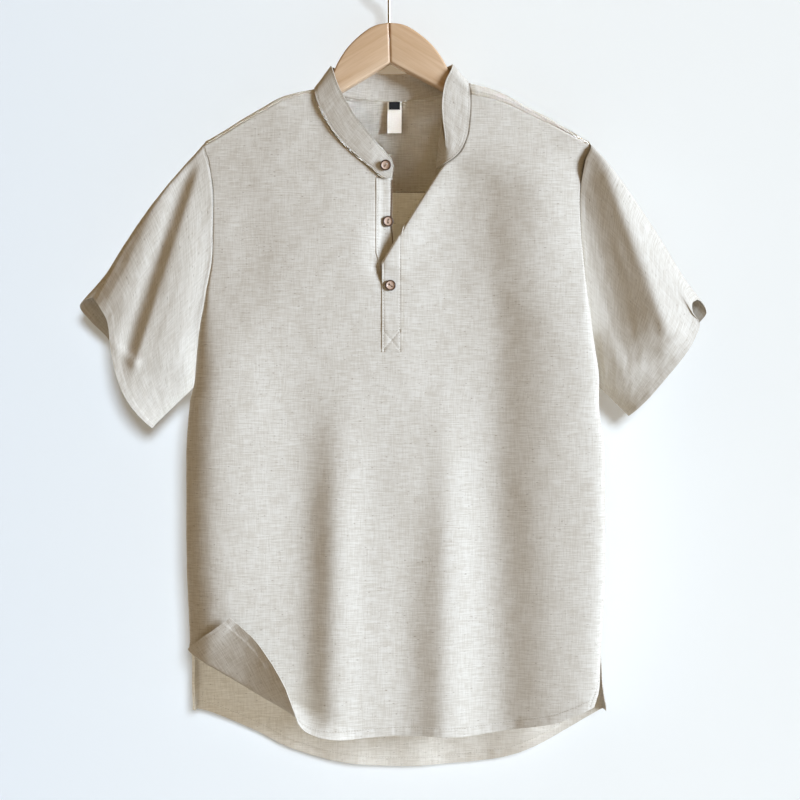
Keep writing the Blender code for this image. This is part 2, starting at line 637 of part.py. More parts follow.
def front_half(hand):
    """One half of the front in the flat, and its finished place."""
    count = HALF_COLUMNS + 1
    if hand < 0:
        hem = to_cloth(through(FRONT_HEM_LEFT, count), FRONT)
        slit = [(PLACKET_MIDDLE, SLIT_BOTTOM), (SLIT_LEFT, SLIT_BOTTOM + SEAM_GAP)]
        slit_top, neck = FRONT_NECK_LEFT[0], FRONT_NECK_LEFT
        top = seam_points(SIDES[1].left, FRONT_NECK_LEFT[-1].x, count)
        top_z = top[0][1]
    else:
        hem = to_cloth(through(FRONT_HEM_RIGHT, count), FRONT)[::-1]
        slit = [(PLACKET_MIDDLE, SLIT_BOTTOM), (SLIT_RIGHT, SLIT_BOTTOM + SEAM_GAP)]
        slit_top, neck = FRONT_NECK_RIGHT[0], FRONT_NECK_RIGHT
        top = seam_points(SIDES[1].right, FRONT_NECK_RIGHT[-1].x, count)
        top_z = top[0][1]
    below = through([(PLACKET_MIDDLE, hem_z(hand)), slit[0]], SPLIT_ROWS + SIDE_ROWS)
    if hand < 0:
        edge = through([slit[1], slit_top], SLIT_ROWS + 1)
    else:
        bend = (SLIT_RIGHT, SLIT_BEND)
        edge = chain(through([slit[1], bend], SLIT_ROWS - 3), through([bend, slit_top], 5))
    inner = to_cloth(chain(below, np.array(slit), edge, through(neck, NECK_ROWS + 1)), FRONT)
    outer = side_edge(FRONT, hand, hem[0], SPLIT_ROWS, ARM_ROWS, top_z)
    top = to_cloth(top, FRONT)
    top[0] = outer[-1]
    top[-1] = inner[-1]
    hem[-1] = inner[0]
    net = coons(hem, top, outer, inner)
    if hand > 0:
        net = net[:, ::-1]
    bm = bmesh.new()
    grid(bm, flat(net))
    if hand < 0:
        crease(bm, to_cloth([CORNER_FOLD_START], FRONT)[0], CORNER_FOLD_SLOPE, 1.0,
               CORNER_CREASES, CORNER_SPINES)
        place(bm, hang_left)
    else:
        start, heading = neck_line()
        crease(bm, start, heading, -1.0, NECK_CREASES)
        place(bm, hang_right)
    return bm


def hem_z(hand):
    """Height of the front's hem at its middle."""
    return FRONT_HEM_LEFT[-1].z if hand < 0 else FRONT_HEM_RIGHT[0].z


def hang_left(s, z):
    """The left front: its corner folded, its placket edge sunk behind the right front."""
    s, z, lift = corner_fold(s, z)
    flat_x = skin(s, z, FRONT)[:, 0]
    return drape(s, z, FRONT, lift - sink(flat_x, z))


def hang_right(s, z):
    """The right front: its neck edge turned in."""
    s, z, lift = neck_fold(s, z)
    return drape(s, z, FRONT, lift)


def front():
    """The front: one piece below its slit, two halves above."""
    mesh = as_mesh("front", joined(front_half(-1), front_half(1)), 0.05)
    return wall(add("front", mesh, LINEN), CLOTH)


def back():
    """The back, from the yoke seam to its longer, curved tail."""
    count = BACK_COLUMNS + 1
    hem = to_cloth(through(BACK_HEM, count), BACK)
    top_z = YOKE_SEAM - SEAM_GAP / 2
    left = side_edge(BACK, -1, hem[0], SPLIT_ROWS + 1, BACK_ARM_ROWS, top_z)
    right = side_edge(BACK, 1, hem[-1], SPLIT_ROWS + 1, BACK_ARM_ROWS, top_z)
    top = np.stack([np.linspace(left[-1][0], right[-1][0], count), np.full(count, top_z)], axis=1)
    bm = bmesh.new()
    grid(bm, flat(coons(hem, top, left, right)))
    place(bm, lambda s, z: drape(s, z, BACK))
    return wall(add("back", as_mesh("back", bm), LINEN), CLOTH)


def over_ridge(x, drop, side):
    """A point of the yoke: at x, this far below the ridge, before it or behind it."""
    z = smooth(RIDGE, "x", "z", x) - drop
    middle, half, deep, arm = section(z, side)
    place_across = np.clip((x - middle) / half, -1, 1)
    y = depth_across(place_across, deep, arm)
    limit = ridge_depth(drop, side)
    y = shallower(y, limit)
    folds = FRONT_FOLDS if side == FRONT else BACK_FOLDS
    y = y + fold_height(x, z, folds) * (1 - np.abs(place_across) ** 6)
    return np.stack([x, side * y, z], axis=-1)


TURN = np.linspace(0, math.pi / 2, 90)
BEND_DROP = RIDGE_HALF * (1 - np.cos(TURN) ** (2 / RIDGE_SQUARE))
BEND_DEPTH = RIDGE_HALF * np.sin(TURN) ** (2 / RIDGE_SQUARE)
BEND_RUN = np.concatenate(
    [[0.0], np.cumsum(np.hypot(np.diff(BEND_DROP), np.diff(BEND_DEPTH)))])


def ridge_run(drop):
    """Length over the ridge from its top to a drop."""
    return np.interp(drop, BEND_DROP, BEND_RUN) + np.maximum(drop - RIDGE_HALF, 0)


def ridge_drop(run):
    """The drop at a length over the ridge."""
    return np.interp(run, BEND_RUN, BEND_DROP) + np.maximum(run - BEND_RUN[-1], 0)


def yoke():
    """The yoke: from the back seam, over both shoulders, to the forward seams and round the neck."""
    left = seam_points(SIDES[1].left, FRONT_NECK_LEFT[-1].x, YOKE_END_COLUMNS + 1)
    right = seam_points(FRONT_NECK_RIGHT[-1].x, SIDES[1].right, YOKE_END_COLUMNS + 1)
    neck = through(BACK_NECK, YOKE_NECK_COLUMNS + 1)
    left_run, right_run = [
        CURVED_SEAM_GAP - ridge_run(smooth(RIDGE, "x", "z", seam[:, 0]) - seam[:, 1])
        for seam in (left, right)]
    neck_run = ridge_run(smooth(RIDGE, "x", "z", neck[:, 0]) - neck[:, 1])
    over = np.linspace(0, 1, YOKE_OVER_COLUMNS + 2)[1:-1]
    left_over = (1 - over) * left[-1, 0] + over * neck[0, 0]
    right_over = (1 - over) * neck[-1, 0] + over * right[0, 0]
    top_x = np.concatenate([left[:, 0], left_over, neck[:, 0], right_over, right[:, 0]])
    top_run = np.concatenate([
        left_run, (1 - over) * left_run[-1] + over * neck_run[0], neck_run,
        (1 - over) * neck_run[-1] + over * right_run[0], right_run])
    bottom_x = np.linspace(edge_x(YOKE_SEAM, -1), edge_x(YOKE_SEAM, 1), len(top_x))
    bottom_run = ridge_run(smooth(RIDGE, "x", "z", bottom_x) - YOKE_SEAM - SEAM_GAP / 2)
    last = len(YOKE_BENDS) - 1
    rows = []
    for k in range(last + YOKE_LOW_ROWS + 1):
        low = max(0.0, (k - last) / YOKE_LOW_ROWS)
        bend = YOKE_BENDS[min(k, last)]
        run = np.maximum(top_run, bend * (1 - low) + bottom_run * low)
        x = bottom_x * low + top_x * (1 - low)
        for _ in range(2):
            drop = ridge_drop(np.abs(run))
            z = smooth(RIDGE, "x", "z", x) - drop
            x[0], x[-1] = edge_x(z[0], -1), edge_x(z[-1], 1)
        before, behind = over_ridge(x, drop, FRONT), over_ridge(x, drop, BACK)
        rows.append(np.where((run < 0)[:, None], before, behind))
    bm = bmesh.new()
    grid(bm, np.array(rows)[::-1])
    return wall(add("yoke", as_mesh("yoke", bm), LINEN), CLOTH)


def edge_x(z, hand):
    """X of the armhole's seam at a height."""
    return float(smooth(SIDES, "z", "left" if hand < 0 else "right", z)) - hand * SEAM_GAP / 2


# ---------------------------------------------------------------- sleeves
def armhole(hand):
    """The armhole, from the underarm up its front and from the ridge down its back, two lists."""
    tip_x = edge_x(SIDES[1].z, hand)
    tip_z = float(smooth(RIDGE, "x", "z", tip_x))
    seam_x = SIDES[1].left if hand < 0 else SIDES[1].right
    drop = float(smooth(FORWARD_SEAM, "x", "drop", seam_x))
    seam_z = float(smooth(RIDGE, "x", "z", seam_x)) - drop
    front_z = np.append(arm_heights(seam_z, ARM_ROWS), tip_z)
    over = np.linspace(YOKE_SEAM, tip_z, len(front_z) - BACK_ARM_ROWS)[1:]
    back_z = np.append(arm_heights(YOKE_SEAM - SEAM_GAP / 2, BACK_ARM_ROWS), over)
    lists = []
    for side, z in ((FRONT, front_z), (BACK, back_z)):
        _, _, _, arm = section(z, side)
        x = np.array([edge_x(value, hand) for value in z])
        y = side * shallower(arm, ridge_depth(tip_z - z, side))
        lists.append(np.stack([x, y, z], axis=1))
    return lists[0], lists[1][::-1]


def sleeve(name, hand):
    """A short sleeve: rings from the armhole to its hem."""
    half = SLEEVE_SIDES // 2 + 1
    start_front, start_back = armhole(hand)
    end_front, end_back = [through(edge, half) for edge in SLEEVE_HEMS[name]]
    start = chain(start_front, start_back)[:-1]
    end = chain(end_front, end_back)[:-1]
    start[:, 0] += hand * (SEAM_GAP + CLOTH / 2 + 0.9 * step((-430.0 - start[:, 2]) / 40.0))
    turn = np.arange(SLEEVE_SIDES) / SLEEVE_SIDES
    outer = np.exp(-((turn - 0.5) / 0.16) ** 2)
    rows = []
    for t in np.linspace(0, 1, SLEEVE_ROWS + 1):
        ring = start * (1 - t) + end * t
        bow = SLEEVE_BULGE[name] * math.sin(math.pi * t) * outer
        ring[:, 0] += hand * bow * 0.8
        ring[:, 2] += bow * 0.6
        puff = fold_height(ring[:, 0], ring[:, 2], SLEEVE_FOLDS[name])
        facing = np.clip(-ring[:, 1] / 12.0, 0, 1)
        ring[:, 1] -= puff * facing
        rows.append(ring)
    bm = bmesh.new()
    grid(bm, np.array(rows), closed=True)
    if hand > 0:
        bmesh.ops.reverse_faces(bm, faces=bm.faces)
    label = "sleeve_" + name
    return wall(add(label, as_mesh(label, bm), LINEN), CLOTH)


# ---------------------------------------------------------------- collar and placket
def collar_band():
    """The band collar, standing round the neck seam, its right end turned in."""
    seam = through([(row.x, row.y, row.z) for row in BAND], BAND_COLUMNS + 1)
    seam_at = np.linspace(0, 1, BAND_COLUMNS + 1)
    base = np.array([(row.x, row.y, row.z) for row in BAND])
    free = np.array([(row.top_x, row.top_y, row.top_z) for row in BAND])
    run = np.concatenate([[0.0], np.cumsum(np.linalg.norm(np.diff(base, axis=0), axis=1))])
    rows = np.concatenate([base, free], axis=1)
    dense = through(rows, BAND_COLUMNS * 8 + 1)
    dense_run = np.concatenate(
        [[0.0], np.cumsum(np.linalg.norm(np.diff(dense[:, :3], axis=0), axis=1))])
    at = seam_at * dense_run[-1]
    even = np.stack([np.interp(at, dense_run, dense[:, k]) for k in range(6)], axis=1)
    lines = []
    for t in np.linspace(0, 1, BAND_ROWS + 1):
        line = even[:, :3] * (1 - t) + even[:, 3:] * t
        lines.append(line)
    bm = bmesh.new()
    grid(bm, np.array(lines))
    return wall(add("collar_band", as_mesh("collar_band", bm), LINEN), BAND_CLOTH)


def strip_rows(left, right, fractions, columns):
    """A grid of pattern points between two edges."""
    rows = []
    for t in fractions:
        a, b = left(t), right(t)
        rows.append([a + (b - a) * c / columns for c in range(columns + 1)])
    return np.array(rows)


def placket_overlap():
    """The strip with the buttonholes: sewn along the right front's slit, folded in above."""
    low, high = np.array(NECK_FOLD_LOW), np.array(NECK_FOLD_HIGH)
    bend = np.array([SLIT_RIGHT - SEAM_GAP - 0.2, SLIT_BEND])
    lean = np.array(FRONT_NECK_RIGHT[0]) - (SLIT_RIGHT, SLIT_BEND)
    lean /= np.linalg.norm(lean)
    square = np.array([-lean[1], lean[0]])
    width = SLIT_RIGHT - SEAM_GAP - OVERLAP_EDGE
    left_edge = np.array([
        (OVERLAP_EDGE, SLIT_BOTTOM + SEAM_GAP), (OVERLAP_EDGE, -380.0), tuple(low),
        (OVERLAP_EDGE, low[1] + 12.0), tuple(bend + square * width),
        tuple(bend + lean * 54.0 + square * width)])
    right_edge = np.array([
        (SLIT_RIGHT - SEAM_GAP, SLIT_BOTTOM + SEAM_GAP), (SLIT_RIGHT - SEAM_GAP, -356.0),
        tuple(bend),
        tuple(bend + lean * 12.0 + square * 0.5), tuple(bend + lean * 26.0 + square * 0.7),
        tuple(bend + lean * 54.0 + square * 0.7)])
    counts = (5, 3, 3, 2, 3)
    rows = []
    for k, count in enumerate(counts):
        for t in np.linspace(0, 1, count + 1)[0 if k == 0 else 1:]:
            a = left_edge[k] * (1 - t) + left_edge[k + 1] * t
            b = right_edge[k] * (1 - t) + right_edge[k + 1] * t
            rows.append([a + (b - a) * c / 3 for c in range(4)])
    net = np.array(rows)
    shape = net.shape
    net = to_cloth(net.reshape(-1, 2), FRONT).reshape(shape)
    bm = bmesh.new()
    grid(bm, flat(net))
    start, heading = neck_line()
    crease(bm, start, heading, -1.0, NECK_CREASES)
    place(bm, hang_right)
    return wall(add("placket_overlap", as_mesh("placket_overlap", bm), LINEN), STRIP_CLOTH)


def underlap_lift(x, z):
    """The buttons' strip: flush with the left front at its seam, behind the other strip's place."""
    behind = (STRIP_CLOTH + LAYER_GAP) * step((x - SLIT_LEFT - 1.0) / 6.0)
    return -behind - sink(x, z)


def hang_underlap(s, z):
    """The buttons' strip in its place."""
    x = skin(s, z, FRONT)[:, 0]
    return drape(s, z, FRONT, underlap_lift(x, z))


def placket_underlap():
    """The strip with the buttons: sewn along the left front's slit."""
    z = np.linspace(SLIT_BOTTOM + SEAM_GAP, PLACKET_TOP - SEAM_GAP, 22)
    x = np.array([SLIT_LEFT + SEAM_GAP, -10.5, -7.5, -4.0, 0.0, UNDERLAP_EDGE])
    net = np.stack(np.meshgrid(x, z), axis=2)
    shape = net.shape
    net = to_cloth(net.reshape(-1, 2), FRONT).reshape(shape)
    bm = bmesh.new()
    grid(bm, flat(net))
    place(bm, hang_underlap)
    return wall(add("placket_underlap", as_mesh("placket_underlap", bm), LINEN), STRIP_CLOTH)


# ---------------------------------------------------------------- buttons and labels
def button(name, centre, out):
    """A two-hole button with a raised rim, facing along `out`."""
    radius, thick = BUTTON_ACROSS / 2, BUTTON_THICK
    profile = ((0.0, thick * 0.66), (radius * 0.66, thick * 0.66), (radius * 0.78, thick),
               (radius * 0.93, thick), (radius, thick * 0.62), (radius * 0.9, 0.25),
               (radius * 0.7, 0.0), (0.0, 0.0))
    mesh = bpy.data.meshes.new(name)
    mesh.from_pydata([(x * MM, 0, z * MM) for x, z in profile],
                     [(k, k + 1) for k in range(len(profile) - 1)], [])
    made = add(name, mesh, COCONUT)
    turn = made.modifiers.new("Turned", "SCREW")
    turn.steps = turn.render_steps = 16
    turn.use_merge_vertices = True
    turn.merge_threshold = 0.00001
    for hand in (-1, 1):
        bpy.ops.mesh.primitive_cylinder_add(
            vertices=8, radius=BUTTON_HOLE / 2 * MM, depth=3 * thick * MM,
            location=(hand * BUTTON_HOLES_APART / 2 * MM, 0, 0))
        cutter = bpy.context.object
        cutter.name = f"{name}_cutter_{'left' if hand < 0 else 'right'}"
        cutter.hide_render = True
        cutter.display_type = "WIRE"
        for owner in list(cutter.users_collection):
            owner.objects.unlink(cutter)
        CUTTERS.objects.link(cutter)
        cutter.parent = made
        cut = made.modifiers.new("Hole", "BOOLEAN")
        cut.operation = "DIFFERENCE"
        cut.object = cutter
    made.rotation_mode = "QUATERNION"
    made.rotation_quaternion = Vector(out).to_track_quat("Z", "Y")
    made.location = Vector(centre) * MM
    return made


def placket_button(name, x, z, where, cloth):
    """A button sewn on a placket strip."""
    s, z = to_cloth([(x, z)], FRONT)[0]
    spot = np.array([[s - 3, z], [s + 3, z], [s, z + 3], [s, z - 3], [s, z]])
    left, right, up, down, middle = where(spot[:, 0], spot[:, 1])
    out = np.cross(right - left, up - down)
    out /= np.linalg.norm(out)
    return button(name, middle + out * (cloth / 2 + LAYER_GAP), out)


def label(name, width, height, top, lean, material):
    """A woven label, hanging from its top edge."""
    bm = bmesh.new()
    rows = []
    for t in np.linspace(0, 1, 5):
        rows.append([(top[0] + width * u, top[1] + lean * t * t, top[2] - height * t)
                     for u in (0.0, 0.5, 1.0)])
    grid(bm, np.array(rows)[::-1])
    return wall(add(name, as_mesh(name, bm), material), LABEL_CLOTH)


# ---------------------------------------------------------------- hanger
def hanger_arm(name, hand):
    """Half of the wooden hanger, mitred to the other half at the middle."""
    upper = through(HANGER_UPPER, 26)
    lower = through(HANGER_LOWER, 16)
    tip = through([HANGER_UPPER[-1], (199.2, -217.6), HANGER_LOWER[0]], 3)[1:2]
    outline = np.concatenate([upper, tip, lower])
    outline[0][0] = outline[-1][0] = MITRE_GAP / 2
    curve = bpy.data.curves.new(name, "CURVE")
    curve.dimensions = "2D"
    curve.fill_mode = "BOTH"
    curve.extrude = (HANGER_THICK / 2 - HANGER_EDGE) * MM
    curve.bevel_depth = HANGER_EDGE * MM
    curve.bevel_resolution = 1
    curve.offset = -HANGER_EDGE * MM
    spline = curve.splines.new("POLY")
    spline.points.add(len(outline) - 1)
    for point, (x, z) in zip(spline.points, outline):
        point.co = (hand * x * MM, z * MM, 0.0, 1.0)
    spline.use_cyclic_u = True
    holder = bpy.data.objects.new(name + "_curve", curve)
    PART.objects.link(holder)
    holder.rotation_euler = (math.pi / 2, 0, 0)
    bpy.context.view_layer.update()
    evaluated = holder.evaluated_get(bpy.context.evaluated_depsgraph_get())
    mesh = bpy.data.meshes.new_from_object(evaluated)
    mesh.transform(holder.matrix_world)
    bpy.data.objects.remove(holder)
    bm = bmesh.new()
    bm.from_mesh(mesh)
    bmesh.ops.remove_doubles(bm, verts=bm.verts, dist=0.00002)
    bmesh.ops.recalc_face_normals(bm, faces=bm.faces)
    pivot = Matrix.Translation((0, 0, HANGER_TOP * MM))
    tilt = pivot @ Matrix.Rotation(-HANGER_TILT, 4, "Y") @ pivot.inverted()
    bmesh.ops.transform(bm, matrix=tilt, verts=bm.verts)
    bm.to_mesh(mesh)
    bm.free()
    made = add(name, mesh, WOOD)
    cut = made.modifiers.new("Wire seat", "BOOLEAN")
    cut.operation = "DIFFERENCE"
    cut.object = WIRE_BORE
    return made


def wire_bore():
    """The hole that the hook's shank is screwed into."""
    bpy.ops.mesh.primitive_cylinder_add(
        vertices=16, radius=(WIRE / 2 + 0.3) * MM, depth=(HOOK_SEAT + 6.0) * MM,
        location=(0, 0, (HANGER_TOP - HOOK_SEAT / 2 + 2.0) * MM))
    bore = bpy.context.object
    bore.name = "wire_bore"
    bore.hide_render = True
    bore.display_type = "WIRE"
    for owner in list(bore.users_collection):
        owner.objects.unlink(bore)
    CUTTERS.objects.link(bore)
    return bore


def hook():
    """The wire hook: a straight shank that swings back into an open loop."""
    middle = HOOK_INNER + WIRE / 2
    centre_z = -HOOK_INNER
    shank = [(0.0, z) for z in np.linspace(HANGER_TOP - HOOK_SEAT + 1.0, centre_z - middle - 13.0, 6)]
    swing = through([shank[-1], (-0.6, centre_z - middle - 8.0), (-6.6, centre_z - middle + 0.6)], 5)
    loop = [(middle * math.sin(a), centre_z + middle * math.cos(a))
            for a in np.radians(np.linspace(-148.0, 96.0, 26))]
    tip = [(middle * 1.0 + 0.4, centre_z - 6.0), (middle + 0.8, centre_z - 7.0)]
    route = shank[:-1] + [tuple(point) for point in swing[:-1]] + loop + tip
    curve = bpy.data.curves.new("hanger_hook", "CURVE")
    curve.dimensions = "3D"
    curve.bevel_depth = WIRE / 2 * MM
    curve.bevel_resolution = 2
    curve.use_fill_caps = True
    spline = curve.splines.new("POLY")
    spline.points.add(len(route) - 1)
    for point, (x, z) in zip(spline.points, route):
        point.co = (x * MM, 0.0, z * MM, 1.0)
    spline.points[-1].radius = 0.55
    made = bpy.data.objects.new("hanger_hook", curve)
    PART.objects.link(made)
    curve.materials.append(STEEL)
    return made


# ---------------------------------------------------------------- the whole
LABEL_CLOTH = 1.0

for item in list(bpy.data.objects):
    bpy.data.objects.remove(item)

PART = collection("Band collar shirt")
CUTTERS = collection("Cutters")
LINEN = finish("oatmeal linen", (0.60, 0.56, 0.48), 0.9)
COCONUT = finish("coconut button", (0.42, 0.24, 0.14), 0.45)
WOOD = finish("pale hanger wood", (0.64, 0.46, 0.30), 0.5)
STEEL = finish("steel wire", (0.62, 0.62, 0.62), 0.3, 1.0)
BLACK_TAPE = finish("black woven tab", (0.012, 0.012, 0.014), 0.8)
CREAM_TAPE = finish("cream satin label", (0.84, 0.80, 0.72), 0.6)

front()
back()
yoke()
sleeve("left", -1)
sleeve("right", 1)
collar_band()
placket_overlap()
placket_underlap()

placket_button("button_lower", 1.5, -374.3, hang_right, STRIP_CLOTH)
placket_button("button_upper", -0.6, -302.5, hang_underlap, STRIP_CLOTH)
button("button_collar", (-3.4, -26.6, -243.0), (-0.02, -1.0, -0.12))

label("care_label", 15.6, 34.0, (-1.8, 11.6, -168.4), -0.5, CREAM_TAPE)
label("size_tab", 12.1, 8.4, (-0.1, 10.15, -168.0), -0.3, BLACK_TAPE)

WIRE_BORE = wire_bore()
hanger_arm("hanger_arm_left", -1)
hanger_arm("hanger_arm_right", 1)
hook()
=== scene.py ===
"""Looks of the band-collar shirt on its wooden hanger: fine cloth, seams, stitches, buttons, wood, wire.

Sizes and tables are in millimetres and become metres as a mesh is made. +Z is up, the shirt's front
faces -Y, and the origin is the inside of the top of the hook. A point of the body's cloth is named
by "s", the length along the cloth across the body from its middle line, and "z", its height.
"""
import math
from collections import namedtuple

import bmesh
import bpy
import numpy as np
from mathutils import Euler, Matrix, Vector
from mathutils.bvhtree import BVHTree


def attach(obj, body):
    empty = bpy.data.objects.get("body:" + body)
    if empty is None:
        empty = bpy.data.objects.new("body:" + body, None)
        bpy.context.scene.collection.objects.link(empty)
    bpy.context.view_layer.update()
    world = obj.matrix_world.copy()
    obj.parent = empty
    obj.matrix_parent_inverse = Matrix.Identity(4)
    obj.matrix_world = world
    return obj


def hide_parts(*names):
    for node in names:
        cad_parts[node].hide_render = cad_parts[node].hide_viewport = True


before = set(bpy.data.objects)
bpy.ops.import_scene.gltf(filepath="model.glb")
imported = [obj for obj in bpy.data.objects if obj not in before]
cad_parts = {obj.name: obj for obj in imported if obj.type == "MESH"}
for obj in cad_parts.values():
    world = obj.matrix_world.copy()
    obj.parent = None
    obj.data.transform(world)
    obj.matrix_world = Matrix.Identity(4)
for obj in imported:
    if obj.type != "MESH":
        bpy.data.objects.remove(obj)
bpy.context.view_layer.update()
MM = 0.001

# ---------------------------------------------------------------- driving sizes
CLOTH = 0.7              # one layer of the linen blend
BAND_CLOTH = 1.7         # the collar band: two layers and an interfacing
STRIP_CLOTH = 1.3        # a placket strip, folded double
SEAM_GAP = 0.1           # between two pieces that are sewn together
LAYER_GAP = 0.5          # between two pieces that lie on each other
LABEL_CLOTH = 0.6
HEM_WIDE = 9.0           # turned-up hem of both shirt tails and of the sleeves
SPLIT_WIDE = 5.0         # and along the side splits
TOPSTITCH = 6.0          # from a flat-felled seam to its second row of stitches
EDGE_STITCH = 2.0        # from the edge of a strip or of the band to its row

HANGER_THICK = 16.0
HANGER_TILT = math.radians(1.8)
HANGER_EDGE = 2.6
HANGER_TOP = -83.8
MITRE_GAP = 0.3
WIRE = 3.5
HOOK_INNER = 20.0
HOOK_SEAT = 16.0

RIDGE_HALF = 10.0        # from the hanger's plane to the cloth's middle layer, over an arm
RIDGE_SQUARE = 3.2       # how square it lies over the wood: 2 would be round
FRONT_FLARE = 0.14       # how fast the front leaves the hanger's plane, per mm of drop
BACK_FLARE = 0.22
SIDE_ROUND = 10.0        # how square the body's cross-section is: 2 would be an ellipse
TAIL_ROUND = 6.0         # and at the left of the shirt tails
TAIL_START = -645.0

SPLIT_TOP = -756.0       # the side seams end here, above the shirt tails
UNDERARM = -480.0
YOKE_SEAM = -265.6       # the seam across the back, below the yoke
SLIT_BOTTOM = -446.0     # the lower end of the half placket
SLIT_LEFT = -14.0        # where the two placket strips are sewn to the front
SLIT_RIGHT = 14.3
SLIT_BEND = -318.0       # above it the right front's slit edge leans out with the open neck
PLACKET_MIDDLE = 3.3
OVERLAP_EDGE = -7.4      # free edge of the strip that carries the buttonholes
UNDERLAP_EDGE = 4.0      # free edge of the strip that carries the buttons
PLACKET_TOP = -257.0

BUTTON_ACROSS = 11.8
BUTTON_HOLE = 1.7
BUTTON_HOLES_APART = 3.6

# ---------------------------------------------------------------- tables
def listed(kind, *lines):
    """The lines of a table, each with the columns of its kind."""
    return tuple(kind(*line) for line in lines)


Side = namedtuple("Side", "z left right back_left back_right")
# Side edges of the front and of the back: armholes above, side seams below.
SIDES = listed(
    Side,
    (-150, -203, 222, -203, 222),
    (-219, -202.4, 221, -202.4, 221),
    (-238, -197, 213.5, -197, 213.5),
    (-280, -191.8, 208.3, -191.8, 208.3),
    (-334, -191.8, 210.5, -191.8, 210.5),
    (-385, -199, 215.8, -199, 215.8),
    (-430, -206.4, 221.8, -206.4, 221.8),
    (-480, -211, 228, -211, 228),
    (-500, -215.5, 227.8, -215.5, 227.8),
    (-560, -219.5, 234, -219.5, 234),
    (-680, -219.3, 234.8, -219.3, 234.8),
    (-756, -216.8, 230.8, -216.8, 230.8),
    (-800, -215.4, 229, -212, 231),
    (-840, -215, 228, -213.5, 238),
    (-910, -214, 226, -217, 239))

Depth = namedtuple("Depth", "z front back front_arm back_arm")
# From the hanger's plane to the cloth: in the middle, and at the armholes.
DEPTHS = listed(
    Depth,
    (-150, 24, 16, 10, 10),
    (-219, 25, 18, 10, 10),
    (-265, 30, 20, 15, 12),
    (-335, 36, 22, 20, 15),
    (-400, 40, 24, 20, 15),
    (-450, 42, 25, 12, 9),
    (-478, 42, 25, 1, 1),
    (-480, 42, 25, 0, 0),
    (-620, 42, 25, 0, 0),
    (-770, 40, 24, 0, 0),
    (-910, 38, 22, 0, 0))

Ridge = namedtuple("Ridge", "x z")
# The cloth's top line over the hanger's arms and across the neck.
RIDGE = listed(
    Ridge, (-240, -240), (-222, -228), (-204.6, -216.4), (-181.5, -202.6), (-160, -189),
    (-138.6, -176.6), (-115.5, -164.4), (-98, -159.6), (-84, -157), (-60, -150), (0, -144),
    (60, -145), (89, -150.2), (108, -154.8), (130.9, -164.4), (151.8, -176), (179.3, -190.6),
    (200.2, -203), (222.2, -217), (240, -230))

Point = namedtuple("Point", "x z")
# Neck seam of the left front, from the placket to the shoulder.
FRONT_NECK_LEFT = listed(
    Point, (-14, -250.4), (-28.6, -238.6), (-42.2, -226.6), (-51.5, -217.4), (-60.7, -206),
    (-68.3, -193.6), (-75.4, -180.5), (-80.3, -169), (-82.4, -161.5))
# The same seam on the right front, laid flat again from its fold.
FRONT_NECK_RIGHT = listed(
    Point, (32, -262), (48, -252.5), (62, -241.2), (77, -228.3), (84.6, -212), (88.2, -188),
    (89.2, -163))
# Neck seam of the yoke, from the left shoulder to the right.
BACK_NECK = listed(
    Point, (-79, -158.6), (-54.5, -161.5), (-32.3, -164.9), (0, -167.1), (34.3, -164.9),
    (60, -159.3), (84.5, -153.6))
# Curved hem of the front, from its lower corner to the middle.
FRONT_HEM_LEFT = listed(
    Point, (-214, -836.5), (-186, -849.5), (-146, -861.5), (-121, -863.5), (-97, -863), (-74, -863),
    (-35, -862), (3.3, -860))
FRONT_HEM_RIGHT = listed(
    Point, (3.3, -860), (44.4, -860.2), (84.2, -861), (119.8, -857), (150, -852), (179, -846.5),
    (207, -836), (221.5, -829.6))
BACK_HEM = listed(
    Point, (-216.2, -838.5), (-199.5, -844.1), (-182.8, -850.8), (-149.3, -866.4), (-115.9, -883.3),
    (-82.5, -894.2), (-49.1, -900.9), (-15.7, -904.2), (25.5, -905.3), (67.8, -903.1),
    (101.2, -899.8), (134.6, -893.1), (168, -880), (201.4, -861.7), (238.1, -839.5))

SLIT_HIDDEN = Point(-5.6, -374)     # below this the left seam is behind the other strip
SLIT_SHOWN = Point(-14, -338)       # and above this it shows beside it
SINK_DEEP = 7.0                     # how far the left front dips behind the folded placket
SINK_MIDDLE, SINK_WIDE = 2.0, 20.0  # and where across it
SINK_FOOT, SINK_HEAD = -378.0, -270.0

Seam = namedtuple("Seam", "x drop")
# The shoulder seam, in front of the ridge by this drop.
FORWARD_SEAM = listed(
    Seam, (-202.4, 4), (-150, 4.5), (-82.4, 4.5), (89.2, 12.8), (150, 8.5), (221, 4))

Fold = namedtuple("Fold", "x0 z0 x1 z1 height left right rise fall")
# Soft ridges (height > 0) and troughs, from their upper to their lower end.
FRONT_FOLDS = listed(
    Fold,
    (-52, -450, -62, -880, 9.2, 21, 27, 200, 0),
    (66, -430, 61, -880, 6.5, 20, 32, 250, 0),
    (100, -225, 120, -620, -13.5, 100, 41, 50, 200),
    (102, -420, 120, -880, -13.5, 54, 39, 200, 0),
    (122, -215, 140, -430, 7.5, 40, 90, 30, 110),
    (66, -236, -9, -357, 2.6, 9, 17, 14, 14),
    (-186, -400, -188, -840, 5, 20, 64, 100, 60),
    (18, -540, 14, -880, -4, 26, 26, 220, 0),
    (-128, -230, -170, -420, -1.2, 26, 34, 70, 90))
BACK_FOLDS = listed(
    Fold,
    (-120, -330, -140, -910, 4.5, 34, 26, 240, 0),
    (-30, -290, -44, -910, -4, 30, 24, 260, 0),
    (52, -300, 66, -910, 4.5, 22, 34, 260, 0),
    (140, -340, 158, -910, -3.5, 28, 24, 240, 0))
